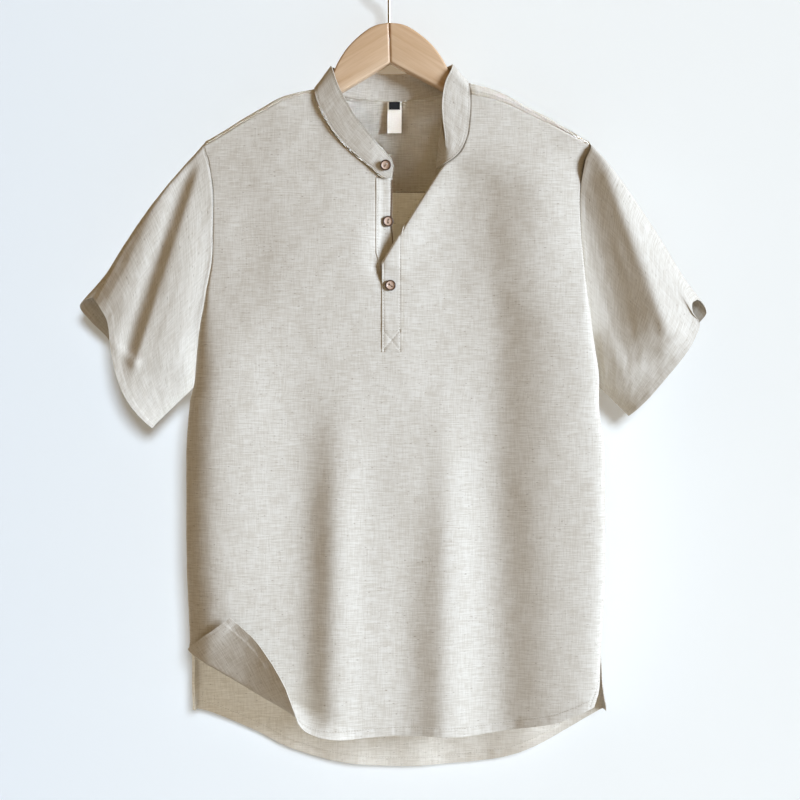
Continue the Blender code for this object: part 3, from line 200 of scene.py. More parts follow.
SLEEVE_FOLDS = {
    "left": listed(
        Fold,
        (-201, -232, -286, -500, 5.2, 9, 62, 36, 60),
        (-211, -228, -290, -462, -3.2, 12, 8, 30, 16),
        (-236, -252, -311, -404, 2.4, 7, 30, 30, 30),
        (-214, -290, -236, -480, 3, 26, 18, 60, 30)),
    "right": listed(
        Fold,
        (219, -205, 316, -470, 15, 38, 30, 40, 60),
        (219, -205, 302, -432, 2.4, 7, 10, 60, 10),
        (206, -226, 262, -440, -6, 26, 22, 40, 40),
        (228, -410, 268, -490, 3, 14, 20, 50, 30)),
}

Curl = namedtuple("Curl", "along radius angle")
CORNER_FOLD_START = Point(-217.2, -754.5)   # the front's lower corner is turned up along a line
CORNER_FOLD_SLOPE = math.radians(-24.9)     # that drops to the right
CORNER_LINES = np.arange(0.0, 16.0, 1.0)    # extra lines of the mesh beside it, for a smooth roll
# How tightly, and how far in degrees, at places along that line.
CORNER_CURL = listed(
    Curl, (-30, 1.9, 176), (8, 1.9, 176), (60, 3.4, 177), (82, 4.8, 171), (115, 8, 152),
    (141, 10.5, 134), (168, 13.5, 108), (192, 17, 74), (214, 20, 36), (240, 22, 0.5),
    (300, 22, 0.5))

NECK_FOLD_LOW = Point(-7.4, -353.4)         # the open right front is turned in along this line
NECK_FOLD_HIGH = Point(62, -241.2)
NECK_LINES = np.arange(0.0, 8.4, 0.9)
NECK_CURL_RADIUS = 2.4
# The fold runs out at the neck seam.
NECK_CURL = listed(
    Curl, (-500, NECK_CURL_RADIUS, 20), (-10, NECK_CURL_RADIUS, 30), (5, NECK_CURL_RADIUS, 110),
    (18, NECK_CURL_RADIUS, 176), (124, NECK_CURL_RADIUS, 178), (138, NECK_CURL_RADIUS, 1),
    (500, NECK_CURL_RADIUS, 1))

Station = namedtuple("Station", "x y z top_x top_y top_z")
# The collar band: its seam and, above it, its free edge, from left to right.
BAND = listed(
    Station,
    (3.2, -24.5, -256.4, 4.8, -24, -243.5),
    (-5.6, -24.9, -256.2, 2.8, -23.4, -235.6),
    (-13.4, -25, -249.9, -3.6, -22.6, -228),
    (-28, -23.5, -237.8, -12, -24.4, -219.4),
    (-41.5, -22, -225.8, -24.6, -24, -203.6),
    (-50.7, -20.8, -216.8, -32.2, -23.2, -195),
    (-59.9, -19.4, -205.5, -39, -22, -184.6),
    (-67.4, -17.7, -193.1, -46.4, -20.4, -171.6),
    (-74.5, -16, -180, -52.6, -18.2, -160.2),
    (-79.2, -13.5, -168.6, -57.6, -15.2, -148.4),
    (-81, -10.9, -160.6, -61, -11, -138),
    (-81.2, -6.4, -156, -62.8, -7, -132.2),
    (-80, 0, -155.2, -63.4, 0, -130.8),
    (-78.5, 6.5, -155.4, -61.8, 7, -130.6),
    (-75.2, 10.1, -158, -57.6, 10.2, -131.4),
    (-54.5, 12.4, -160.9, -46, 11, -133),
    (-32.3, 13.2, -164.3, -28, 11.8, -135),
    (0, 14, -166.5, 1, 12.6, -136.8),
    (34.3, 13.2, -164.3, 31, 11.8, -135),
    (60, 12.2, -158.7, 51, 11, -131.4),
    (78.6, 10.1, -153.9, 63.6, 10.2, -129.2),
    (83.9, 6.6, -149.3, 67.4, 7, -128.4),
    (85.3, 0, -148.2, 69.2, 0, -129),
    (86.3, -6.2, -149.2, 69.6, -7, -131),
    (87.4, -10.4, -154.4, 68.6, -10.6, -135.2),
    (88.8, -13, -168, 62.4, -12.6, -148),
    (88.1, -16.8, -188, 58.2, -15.6, -170),
    (84.5, -20.2, -211.8, 58.6, -18.4, -191),
    (77, -22.8, -227.4, 60.8, -20.2, -208.4),
    (68, -23.8, -235.8, 61.8, -21, -222),
    (61.6, -21.6, -239.6, 61, -19.6, -216),
    (56.6, -15, -242.5, 59.4, -13.6, -205),
    (52, -6.5, -245.5, 57.6, -6, -190))

# The sleeve's open end, in x, y and z: up its front from the lowest tip, then down its back.
SLEEVE_HEMS = {
    "left": (
        ((-260.6, -1, -528), (-268.9, -10, -519.6), (-285.2, -20, -497.8),
         (-296.1, -24, -470.6), (-303, -21, -437.9), (-307.4, -15, -410.7),
         (-317.6, -9, -394), (-324, -3, -385.5)),
        ((-324, -3, -385.5), (-333, -1, -387.5), (-340.5, 2, -393.5),
         (-329.5, 6, -410.4), (-313, 12, -428), (-298, 18, -455),
         (-284, 20, -485), (-270, 10, -512), (-260.6, -1, -528)),
    ),
    "right": (
        ((263.6, -1, -515), (270.5, -9, -508.7), (281.4, -15, -497.8),
         (299.9, -20, -476), (317.4, -22, -454.2), (331.5, -20, -432.4),
         (337.6, -18, -413), (330.5, -20, -404), (330, -13.5, -393),
         (337, -6, -388)),
        ((337, -6, -388), (344, 0, -390.5), (350.5, 5, -401),
         (343, 11, -413), (333, 15, -430), (316, 18, -455),
         (296, 17, -480), (276, 9, -505), (263.6, -1, -515)),
    ),
}
SLEEVE_BULGE = {"left": 8.0, "right": 5.0}   # how far the outer edge bows out, halfway down

# One arm, level: its top edge from the middle out, then its tip.
HANGER_UPPER = listed(
    Point, (0, -83.8), (14.3, -86), (35.6, -99.2), (48.7, -112.3), (57.5, -125.5), (63.5, -137),
    (69, -146.6), (75, -152.8), (82, -156.2), (90, -157.7), (98, -159.2), (106, -161.4),
    (115.5, -165.4), (128.5, -171.6), (138.6, -177.6), (149, -183.8), (162, -191.4), (176, -199.3),
    (189, -207.6), (195.5, -213.5))
# Back along its underside.
HANGER_LOWER = listed(
    Point, (200.6, -223), (196, -231), (184, -230), (160, -216), (130, -199.5), (100, -184),
    (75, -170), (52.5, -157.3), (26, -142.4), (0, -127.7))
# Finer folds that only the cloth's own surface has.
FRONT_CREASES = listed(
    Fold,
    (-202, -380, -203, -800, 4, 9, 60, 80, 60),
    (-100, -420, -96, -870, -2, 30, 26, 160, 0))
BACK_CREASES = listed(
    Fold,
    (-80, -420, -96, -900, 2, 16, 20, 160, 0),
    (100, -480, 104, -900, 2, 20, 16, 160, 0))
SLEEVE_CREASES = {
    "left": listed(
        Fold,
        (-302, -436, -268, -464, 2.6, 7, 6, 10, 10),
        (-240, -270, -290, -380, 1.6, 16, 20, 40, 40)),
    "right": listed(
        Fold,
        (246, -420, 266, -468, -1.6, 8, 10, 20, 16),
        (286, -452, 326, -420, 2, 8, 9, 16, 14)),
}
SLEEVE_BACK_CREASES = {
    "left": listed(
        Fold,
        (-210, -240, -290, -450, -3, 20, 18, 60, 60),
        (-240, -250, -306, -400, 2, 12, 16, 50, 40)),
    "right": listed(
        Fold,
        (222, -240, 296, -450, -3, 18, 20, 60, 60),
        (250, -250, 316, -410, 2, 12, 14, 50, 40)),
}

FRONT, BACK = -1.0, 1.0


# ---------------------------------------------------------------- curves
def column(rows, name):
    """One named column of a table, as an array."""
    return np.array([getattr(row, name) for row in rows], float)


def smooth(rows, key, name, at):
    """Column `name` at the places `at` of column `key`, on a cubic that never overshoots."""
    order = np.argsort(column(rows, key))
    xs, ys = column(rows, key)[order], column(rows, name)[order]
    span = np.diff(xs)
    slope = np.diff(ys) / span
    tangent = np.empty_like(ys)
    before, after = slope[:-1], slope[1:]
    total = np.where(before + after == 0, 1.0, before + after)
    tangent[1:-1] = np.where(before * after > 0, 2 * before * after / total, 0.0)
    tangent[0], tangent[-1] = slope[0], slope[-1]
    at = np.asarray(at, float)
    i = np.clip(np.searchsorted(xs, at) - 1, 0, len(xs) - 2)
    t = np.clip((at - xs[i]) / span[i], 0.0, 1.0)
    rise = (3 - 2 * t) * t * t
    return (ys[i] * (1 - rise) + ys[i + 1] * rise
            + span[i] * t * (1 - t) * ((1 - t) * tangent[i] - t * tangent[i + 1]))


def lengths(line):
    """Distance of each point of a line from its start, along it."""
    return np.concatenate([[0.0], np.cumsum(np.linalg.norm(np.diff(line, axis=0), axis=1))])


def at_shares(line, shares):
    """Points of a line at shares of its length, or that many even ones."""
    run = lengths(line)
    at = (np.linspace(0, 1, shares) if np.isscalar(shares) else np.asarray(shares)) * run[-1]
    return np.stack([np.interp(at, run, line[:, k]) for k in range(line.shape[1])], axis=1)


def through(points, shares):
    """Points at shares of the length of a smooth curve through `points`, or that many even ones."""
    points = np.array(points, float)
    chord = lengths(points)
    tangent = np.gradient(points, chord, axis=0)
    fine = np.linspace(0.0, chord[-1], 40 * len(points))
    i = np.clip(np.searchsorted(chord, fine) - 1, 0, len(chord) - 2)
    span = (chord[i + 1] - chord[i])[:, None]
    t = ((fine - chord[i]) / span[:, 0])[:, None]
    rise = (3 - 2 * t) * t * t
    curve = (points[i] * (1 - rise) + points[i + 1] * rise
             + span * t * (1 - t) * ((1 - t) * tangent[i] - t * tangent[i + 1]))
    return at_shares(curve, shares)


def shares(length, count, first=(0.0,), last=(0.0,)):
    """Shares of a length: `count` even steps between closer ones at these distances from its ends."""
    first, last = np.array(first), length - np.array(last)[::-1]
    middle = np.linspace(first[-1], last[0], count + 1)[1:-1]
    return np.concatenate([first, middle, last]) / length


def chain(*pieces):
    """Point lists joined end to end, each sharing its first point with the last one's end."""
    return np.concatenate([pieces[0]] + [piece[1:] for piece in pieces[1:]])


def coons(bottom, top, left, right, across, upward):
    """A grid of points (rows, columns) that fills the space between four edges."""
    u, v = across[None, :, None], upward[:, None, None]
    wide = (1 - u) * left[:, None] + u * right[:, None]
    high = (1 - v) * bottom[None] + v * top[None]
    corners = ((1 - u) * (1 - v) * bottom[0] + u * (1 - v) * bottom[-1]
               + (1 - u) * v * top[0] + u * v * top[-1])
    return wide + high - corners


def step(t):
    """0 below 0, 1 above 1, and a soft S between."""
    t = np.clip(t, 0.0, 1.0)
    return t * t * (3 - 2 * t)


def bell(distance, width):
    """1 at distance 0, falling softly to nothing beyond `width`."""
    return np.exp(-(distance / width) ** 2)


# ---------------------------------------------------------------- the hung body
TURNS = np.linspace(-1, 1, 161)          # a section, closer at its edges
HEIGHTS = np.arange(-930.0, -130.0, 2.5)
PLACES = np.linspace(-1, 1, 201)


def section(z, side):
    """Middle, half width, depth in the middle and depth at the edges of a level section."""
    left = smooth(SIDES, "z", "left" if side == FRONT else "back_left", z)
    right = smooth(SIDES, "z", "right" if side == FRONT else "back_right", z)
    deep = smooth(DEPTHS, "z", "front" if side == FRONT else "back", z)
    arm = smooth(DEPTHS, "z", "front_arm" if side == FRONT else "back_arm", z)
    return (left + right) / 2, (right - left) / 2, deep, arm


def squareness(left, z):
    """How square the section is at its left or its right: 2 would be an ellipse."""
    return SIDE_ROUND - (SIDE_ROUND - TAIL_ROUND) * step((TAIL_START - z) / 75) * left


def depth_across(place, deep, arm, z):
    """Depth of the section at a place from -1, its left edge, to 1, its right edge."""
    square = squareness(place < 0, z)
    outer = np.abs(place) ** square
    return (deep ** square * (1 - outer) + arm ** square * outer) ** (1 / square)


def oval(turn, deep, arm, z):
    """Place and depth of the section's points, at even turns from -1, its left edge, to 1."""
    square = squareness(turn < 0, z)
    wide, high = np.cos((1 - np.abs(turn)) * math.pi / 2), np.sin((1 - np.abs(turn)) * math.pi / 2)
    wide, high = wide ** square, np.maximum(high, 0) ** square
    total = wide + high
    return (np.sign(turn) * (wide / total) ** (1 / square),
            ((deep ** square * high + arm ** square * wide) / total) ** (1 / square))


def section_run(z, side):
    """Places across each section z, and lengths along the cloth to them from the middle."""
    _, half, deep, arm = section(z, side)
    place, y = oval(TURNS, deep[:, None], arm[:, None], z[:, None])
    x = half[:, None] * place
    run = np.cumsum(np.hypot(np.diff(x), np.diff(y)), axis=1)
    run = np.concatenate([np.zeros((len(z), 1)), run], axis=1)
    return place, run - run[:, len(TURNS) // 2][:, None]


def edge_s(z, side, hand):
    """Cloth length from the middle to the edge of the section: hand -1 left, 1 right."""
    z = np.atleast_1d(np.asarray(z, float))
    return section_run(z, side)[1][:, 0 if hand < 0 else -1]


def to_cloth(points, side):
    """Pattern points (s, z) of points given by x and z."""
    points = np.array(points, float)
    x, z = points[:, 0], points[:, 1]
    middle, half, _, _ = section(z, side)
    places, run = section_run(z, side)
    place = (x - middle) / half
    s = np.array([np.interp(p, across, r) for p, across, r in zip(place, places, run)])
    s += np.sign(place) * np.maximum(np.abs(place) - 1, 0) * half
    return np.stack([s, z], axis=1)


def laid(side):
    """For each of HEIGHTS: the cloth's length to both edges, and its turn at shares of them."""
    run = section_run(HEIGHTS, side)[1]
    table = [np.interp(np.where(PLACES < 0, -PLACES * row[0], PLACES * row[-1]), row, TURNS)
             for row in run]
    return run[:, 0], run[:, -1], np.array(table)


LAID = {side: laid(side) for side in (FRONT, BACK)}


def turn_across(s, z, side):
    """Turn from -1 to 1 round the section of each pattern point, and its length past the edges."""
    left, right, table = LAID[side]
    row = np.clip((z - HEIGHTS[0]) / (HEIGHTS[1] - HEIGHTS[0]), 0, len(HEIGHTS) - 1.001)
    k, f = row.astype(int), row % 1
    low, high = left[k] * (1 - f) + left[k + 1] * f, right[k] * (1 - f) + right[k + 1] * f
    share = np.clip(np.where(s < 0, -s / low, s / high), -1, 1)
    col = np.clip((share + 1) * (len(PLACES) - 1) / 2, 0, len(PLACES) - 1.001)
    c, g = col.astype(int), col % 1
    turn = ((table[k, c] * (1 - g) + table[k, c + 1] * g) * (1 - f)
            + (table[k + 1, c] * (1 - g) + table[k + 1, c + 1] * g) * f)
    return turn, s - np.clip(s, low, high)


def ridge_depth(drop, side):
    """Distance of the cloth from the hanger's plane at a drop below its top line."""
    drop = np.maximum(drop, 0.0)
    level = 1 - np.minimum(drop, RIDGE_HALF) / RIDGE_HALF
    flare = FRONT_FLARE if side == FRONT else BACK_FLARE
    bend = RIDGE_HALF * (1 - level ** RIDGE_SQUARE) ** (1 / RIDGE_SQUARE)
    return bend + flare * np.maximum(drop - RIDGE_HALF, 0)


def shallower(deep, limit):
    """The smaller of two depths, blended where they meet."""
    return np.maximum((deep + limit - np.sqrt((deep - limit) ** 2 + 1.0)) / 2, 0.0)


def fold_height(x, z, folds):
    """Sum of the soft folds at (x, z), outward."""
    total = np.zeros_like(x)
    for fold in folds:
        run = np.array([fold.x1 - fold.x0, fold.z1 - fold.z0])
        length = np.linalg.norm(run)
        run = run / length
        along = (x - fold.x0) * run[0] + (z - fold.z0) * run[1]
        off = (x - fold.x0) * -run[1] + (z - fold.z0) * run[0]
        width = np.where(off < 0, fold.left, fold.right)
        fade = step(along / fold.rise)
        if fold.fall:
            fade = fade * step((length - along) / fold.fall)
        total += fold.height * bell(off, width) * fade
    return total


def waves(x, z, seed, long, height, count=18):
    """Small uneven waves of the cloth, about this long and high."""
    dice = np.random.default_rng(seed)
    total = np.zeros_like(x)
    for _ in range(count):
        way, phase = dice.uniform(0, math.pi), dice.uniform(0, 2 * math.pi)
        pace = 2 * math.pi / (long * dice.uniform(0.6, 1.7))
        total += np.sin((x * math.cos(way) + z * math.sin(way)) * pace + phase)
    return total * height / math.sqrt(count)


def body_folds(x, z, side):
    """Height of all the body's folds, large and small."""
    if side == FRONT:
        return fold_height(x, z, FRONT_FOLDS + FRONT_CREASES) + waves(x, z, 3, 60.0, 0.2)
    return fold_height(x, z, BACK_FOLDS + BACK_CREASES) + waves(x, z, 5, 60.0, 0.2)


def held(place):
    """1 over a panel, and 0 at its side edges, where the seams hold the cloth flat."""
    return 1 - np.abs(place) ** 14


def skin(s, z, side):
    """Points of the hung body at pattern points (s, z)."""
    middle, half, deep, arm = section(z, side)
    turn, past = turn_across(s, z, side)
    place, y = oval(turn, deep, arm, z)
    x = middle + half * place + past
    y = shallower(y, ridge_depth(smooth(RIDGE, "x", "z", x) - z, side))
    y = y + body_folds(x, z, side) * held(place)
    return np.stack([x, side * y, z], axis=1)


def drape(s, z, side, lift=0.0):
    """Points of the hung body, moved out of the cloth by `lift`."""
    s, z = np.asarray(s, float), np.asarray(z, float)
    points = skin(s, z, side)
    along = skin(s + 1, z, side) - skin(s - 1, z, side)
    up = skin(s, z + 1, side) - skin(s, z - 1, side)
    out = np.cross(along, up) if side == FRONT else np.cross(up, along)
    out /= np.linalg.norm(out, axis=1)[:, None]
    return points + out * np.reshape(lift, (-1, 1))


def fold_over(s, z, start, heading, turn, curl):
    """Pattern points past a fold line, rolled over it; returns s, z and the lift."""
    ahead = np.array([math.cos(heading), math.sin(heading)])
    past_way = np.array([ahead[1], -ahead[0]]) * turn
    ds, dz = s - start[0], z - start[1]
    along = ds * ahead[0] + dz * ahead[1]
    past = ds * past_way[0] + dz * past_way[1]
    radius = smooth(curl, "along", "radius", along)
    angle = np.radians(smooth(curl, "along", "angle", along))
    arc = radius * angle
    rolled = np.clip(past, 0, arc) / radius
    rest = np.maximum(past - arc, 0)
    out = np.where(past > 0, radius * np.sin(rolled) + rest * np.cos(angle), past)
    lift = radius * (1 - np.cos(rolled)) + rest * np.sin(angle)
    return (start[0] + along * ahead[0] + out * past_way[0],
            start[1] + along * ahead[1] + out * past_way[1], lift)


def corner_line():
    """Start, heading and side of the line along which the front's lower left corner is turned up."""
    return to_cloth([CORNER_FOLD_START], FRONT)[0], CORNER_FOLD_SLOPE, 1.0


def neck_line():
    """Start, heading and side of the line along which the open right front is turned in."""
    low, high = to_cloth([NECK_FOLD_LOW, NECK_FOLD_HIGH], FRONT)
    return low, math.atan2(high[1] - low[1], high[0] - low[0]), -1.0


def sink(x, z):
    """How far the left front is behind its plain place, beside the folded placket."""
    return (SINK_DEEP * bell(x - SINK_MIDDLE, SINK_WIDE)
            * step((z - SINK_FOOT) / 24) * step((SINK_HEAD - z) / 55))


# ---------------------------------------------------------------- sewing and pressing
HEM_MARKS = (0, 0.7, 1.5, 3, 5, 7, 8.3, 9, 9.7, 11, 14)      # closer lines of the mesh along a hem
SEAM_MARKS = (0, 0.7, 1.5, 2.6, 4, 5.3, 6, 6.7, 8, 11)       # and along a seam
EDGE_MARKS = (0, 0.7, 1.5, 2.6, 4)


def uneven(along, pace, seed=0.0):
    """A wave from -1 to 1 along a seam, whose puckers come about `pace` apart but never evenly."""
    turn = 2 * math.pi * along / pace
    drift = 1.9 * np.sin(turn / 3.7 + seed) + 1.3 * np.sin(turn / 8.3 + 2 * seed)
    return np.sin(turn + drift) * (0.65 + 0.35 * np.sin(turn / 2.9 + 3 * seed))


def nearest(s, z, line):
    """Distance of pattern points from a line, and how far along it the nearest place is."""
    spots = np.stack([s, z], axis=1)
    run = lengths(line)
    best, along = np.full(len(s), 1e9), np.zeros(len(s))
    for k in range(len(line) - 1):
        way = line[k + 1] - line[k]
        size = max(way @ way, 1e-9)
        t = np.clip((spots - line[k]) @ way / size, 0, 1)
        gap = np.hypot(*(spots - line[k] - t[:, None] * way).T)
        near = gap < best
        best[near], along[near] = gap[near], run[k] + t[near] * math.sqrt(size)
    return best, along


def hem_relief(gap, along, wide, seed=0.0):
    """A turned-up and stitched hem: thicker cloth, a line of stitches sunk in it, puckers."""
    band = 0.4 * step((wide + 1.2 - gap) / 1.5)
    pucker = 0.42 * uneven(along, 10.5, seed) * bell(gap - wide * 0.6, wide * 0.62)
    return band + pucker - 0.4 * bell(gap - wide, 0.7)


def seam_relief(gap, along, seed=0.0):
    """A flat-felled seam: sunk where the pieces meet, raised beside it, a second row of stitches."""
    rise = 0.4 * bell(gap - 3.0, 2.3) + 0.14 * uneven(along, 8.0, seed) * bell(gap - 4, 4)
    return rise - 1.1 * bell(gap, 0.95) - 0.45 * bell(gap - TOPSTITCH, 0.75)


def edge_relief(gap, along, wide, seed=0.0):
    """A finished edge with a row of stitches `wide` from it."""
    return 0.1 * uneven(along, 9.0, seed) * bell(gap, wide) - 0.4 * bell(gap - wide, 0.7)


def inset(line, distance, inner):
    """A line of pattern points moved over by a distance, towards the point `inner`."""
    way = np.gradient(line, axis=0)
    side = np.stack([-way[:, 1], way[:, 0]], axis=1)
    side /= np.linalg.norm(side, axis=1)[:, None]
    middle = len(line) // 2
    turn = 1.0 if (np.array(inner) - line[middle]) @ side[middle] > 0 else -1.0
    return line + side * distance * turn


# ---------------------------------------------------------------- meshes
UV_START = np.array([500.0, 1000.0])     # keeps the UV map of every piece above zero


def grid(bm, points, spread, closed=False):
    """Quads over a grid of points; `spread` says where each point lies on the cloth, in its UV map."""
    layer = bm.loops.layers.uv.verify()
    rows, columns = points.shape[:2]
    uv = (np.array(spread) + UV_START) * MM
    verts = [[bm.verts.new(point) for point in row] for row in points]
    for r in range(rows - 1):
        for c in range(columns if closed else columns - 1):
            n = (c + 1) % columns
            face = bm.faces.new((verts[r][c], verts[r][n], verts[r + 1][n], verts[r + 1][c]))
            corners = ((r, c), (r, c + 1), (r + 1, c + 1), (r + 1, c))
            for loop, corner in zip(face.loops, corners):
                loop[layer].uv = uv[corner]


def crease(bm, start, heading, turn, offsets):
    """Edges across a flat pattern, along a fold line and beside it."""
    ahead = Vector((math.cos(heading), math.sin(heading), 0))
    past_way = Vector((ahead.y, -ahead.x, 0)) * turn
    origin = Vector((start[0], start[1], 0))
    for offset in offsets:
        bmesh.ops.bisect_plane(
            bm, geom=bm.verts[:] + bm.edges[:] + bm.faces[:], dist=0.05,
            plane_co=origin + past_way * offset, plane_no=past_way)


def hung(net, where, fold_line=None, offsets=()):
    """The open surface of a piece: its flat net, creased beside a fold, each point put at where(s, z)."""
    bm = bmesh.new()
    grid(bm, np.concatenate([net, np.zeros(net.shape[:2] + (1,))], axis=2), net)
    if fold_line:
        crease(bm, *fold_line, offsets)
    spots = np.array([vert.co for vert in bm.verts])
    for vert, point in zip(bm.verts, where(spots[:, 0], spots[:, 1])):
        vert.co = Vector(point)
    return bm


def mesh_of(name, bm):
    """A mesh from a bmesh, which is given up."""
    mesh = bpy.data.meshes.new(name)
    bm.to_mesh(mesh)
    bm.free()
    return mesh


def joined(*parts):
    """Several open surfaces in one bmesh."""
    together = bmesh.new()
    for part in parts:
        mesh = mesh_of("part", part)
        together.from_mesh(mesh)
        bpy.data.meshes.remove(mesh)
    return together


def added(name, data):
    """A new object in the scene."""
    made = bpy.data.objects.new(name, data)
    bpy.context.scene.collection.objects.link(made)
    return made


def piece(name, mesh, *materials):
    """A new object of the shirt or its hanger, in its materials."""
    for material in materials:
        mesh.materials.append(material)
    return added(name, mesh)


def worked_out(made):
    """A plain mesh of the object, with its modifiers or its curve's thickness in it."""
    bpy.context.view_layer.update()
    return bpy.data.meshes.new_from_object(
        made.evaluated_get(bpy.context.evaluated_depsgraph_get()))


def smoothed(mesh, angle):
    """The mesh, shaded smooth but for edges sharper than this many degrees."""
    mesh.shade_smooth()
    mesh.set_sharp_from_angle(angle=math.radians(angle))
    return mesh


def whole(made):
    """The object, with its modifiers worked into its mesh."""
    mesh = worked_out(made)
    mesh.name = made.name
    made.modifiers.clear()
    made.data = smoothed(mesh, 48)
    return made


def thicken(made, thick):
    """Gives an open surface its thickness, half of it to each side."""
    solid = made.modifiers.new("Thickness", "SOLIDIFY")
    solid.thickness = thick * MM
    solid.offset = 0.0


def press(mesh, relief):
    """Presses seams and hems into an open mesh in millimetres, and turns it into metres."""
    spots = np.empty(len(mesh.vertices) * 3)
    mesh.vertices.foreach_get("co", spots)
    corner = np.empty(len(mesh.loops), int)
    mesh.loops.foreach_get("vertex_index", corner)
    uv = np.empty(len(mesh.loops) * 2)
    mesh.uv_layers[0].data.foreach_get("uv", uv)
    spread = np.zeros((len(mesh.vertices), 2))
    spread[corner] = uv.reshape(-1, 2) / MM - UV_START
    out = np.empty(len(spots))
    mesh.vertex_normals.foreach_get("vector", out)
    spots = spots.reshape(-1, 3) + out.reshape(-1, 3) * relief(spread[:, 0], spread[:, 1])[:, None]
    mesh.vertices.foreach_set("co", (spots * MM).ravel())


def cloth(name, bm, thick, relief, turned=False, rounded=0.0):
    """A finished piece of cloth from its open surface in millimetres."""
    if turned:
        bmesh.ops.reverse_faces(bm, faces=bm.faces[:])
    bmesh.ops.remove_doubles(bm, verts=bm.verts, dist=0.02)
    mesh = mesh_of(name, bm)
    press(mesh, relief)
    made = piece(name, mesh, LINEN)
    thicken(made, thick)
    if rounded:
        bevel = made.modifiers.new("Pressed edge", "BEVEL")
        bevel.width = rounded * MM
        bevel.segments = 2
        bevel.limit_method = "ANGLE"
        bevel.angle_limit = math.radians(60)
    return whole(made)


# ---------------------------------------------------------------- body panels
# How many even steps the mesh has along each edge, beside its closer lines.
HALF_COUNT, BACK_COUNT, SPLIT_COUNT, SIDE_COUNT, ARM_COUNT, SLIT_COUNT = 62, 118, 18, 100, 104, 62
# About how long the edges are, only to place the closer lines.
HALF_LONG, BACK_LONG, SPLIT_LONG, NECK_LONG, SHOULDER_LONG, YOKE_DEEP = 220, 460, 75, 130, 130, 90
SPLIT_TURN = (0.0, 0.84, 0.96, 1.0)      # where the front's split edge comes forward, along it
SPLIT_SHARE = (0.0, 1.0, 0.35, 0.0)      # what share of the farthest
SPLIT_IN = {-1: 20.0, 1: 8.0}            # and how far that is
SLIT_OPEN = 0.4                          # the slit's sides part this far above its lower end
STITCH_POINTS = 90


def seam_points(left_x, right_x, where):
    """Points of the forward shoulder seam between two places."""
    x = left_x + (right_x - left_x) * where
    z = smooth(RIDGE, "x", "z", x) - smooth(FORWARD_SEAM, "x", "drop", x)
    return np.stack([x, z], axis=1)


def side_edge(side, hand, corner, top, drawn_in=0.0):
    """A panel's side edge in the flat: its split, its side seam and its armhole."""
    half_gap = SEAM_GAP / 2 * hand
    split = shares(SPLIT_LONG, SPLIT_COUNT, HEM_MARKS)[:, None]
    seam_z = np.linspace(SPLIT_TOP, UNDERARM, SIDE_COUNT + 1)
    arm_z = UNDERARM + (top - UNDERARM) * shares(top - UNDERARM, ARM_COUNT, (0.0,), EDGE_MARKS)
    seam = np.stack([edge_s(seam_z, side, hand) - half_gap, seam_z], axis=1)
    arm = np.stack([edge_s(arm_z, side, hand) - half_gap, arm_z], axis=1)
    line = np.array(corner) * (1 - split) + seam[0] * split
    line[:, 0] -= hand * drawn_in * np.interp(split[:, 0], SPLIT_TURN, SPLIT_SHARE)
    return line, seam, arm


def front_half(hand):
    """One half of the front: its flat net of points, and its edges by name."""
    across = shares(HALF_LONG, HALF_COUNT, SEAM_MARKS, EDGE_MARKS)
    foot = SLIT_BOTTOM + SLIT_OPEN
    if hand < 0:
        hem_table, neck, outer_x = FRONT_HEM_LEFT, FRONT_NECK_LEFT, SIDES[1].left
        bend = [(SLIT_HIDDEN.x, foot), SLIT_HIDDEN, SLIT_SHOWN, neck[0]]
    else:
        hem_table, neck, outer_x = FRONT_HEM_RIGHT[::-1], FRONT_NECK_RIGHT, SIDES[1].right
        bend = [(SLIT_RIGHT, foot), (SLIT_RIGHT, SLIT_BEND), neck[0]]
    hem = to_cloth(through(hem_table, across), FRONT)
    top = seam_points(outer_x, neck[-1].x, across)
    split, seam, arm = side_edge(FRONT, hand, hem[0], top[0][1], SPLIT_IN[hand])
    outer = chain(split, seam, arm)
    rows = len(split) + SIDE_COUNT - 1
    low, high = hem_table[-1].z, SLIT_BOTTOM
    below = at_shares(np.array([(PLACKET_MIDDLE, low), (PLACKET_MIDDLE, high)]),
                      shares(high - low, rows - len(HEM_MARKS), HEM_MARKS))
    slit = np.array([(PLACKET_MIDDLE, SLIT_BOTTOM), bend[0]])
    edge = at_shares(np.array(bend), SLIT_COUNT + 1)
    neck_seam = through(neck, shares(NECK_LONG, ARM_COUNT - SLIT_COUNT, (0.0,), EDGE_MARKS))
    inner = to_cloth(chain(below, slit, edge, neck_seam), FRONT)
    top = to_cloth(top, FRONT)
    top[0], top[-1], hem[-1] = outer[-1], inner[-1], inner[0]
    upward = (lengths(outer) / lengths(outer)[-1] + lengths(inner) / lengths(inner)[-1]) / 2
    net = coons(hem, top, outer, inner, across, upward)
    edges = {"hem": hem, "split": split, "side": seam, "armhole": arm, "shoulder": top,
             "slit": to_cloth(edge, FRONT), "neck": to_cloth(neck_seam, FRONT)}
    return net[:, ::-1] if hand > 0 else net, edges


def hang_left(s, z):
    """The left front: its corner folded, its placket edge sunk behind the right front."""
    s, z, lift = fold_over(s, z, *corner_line(), CORNER_CURL)
    return drape(s, z, FRONT, lift - sink(skin(s, z, FRONT)[:, 0], z))


def hang_right(s, z):
    """The right front: its neck edge turned in."""
    s, z, lift = fold_over(s, z, *neck_line(), NECK_CURL)
    return drape(s, z, FRONT, -lift)


def hang_back(s, z):
    """The back, as it hangs."""
    return drape(s, z, BACK)


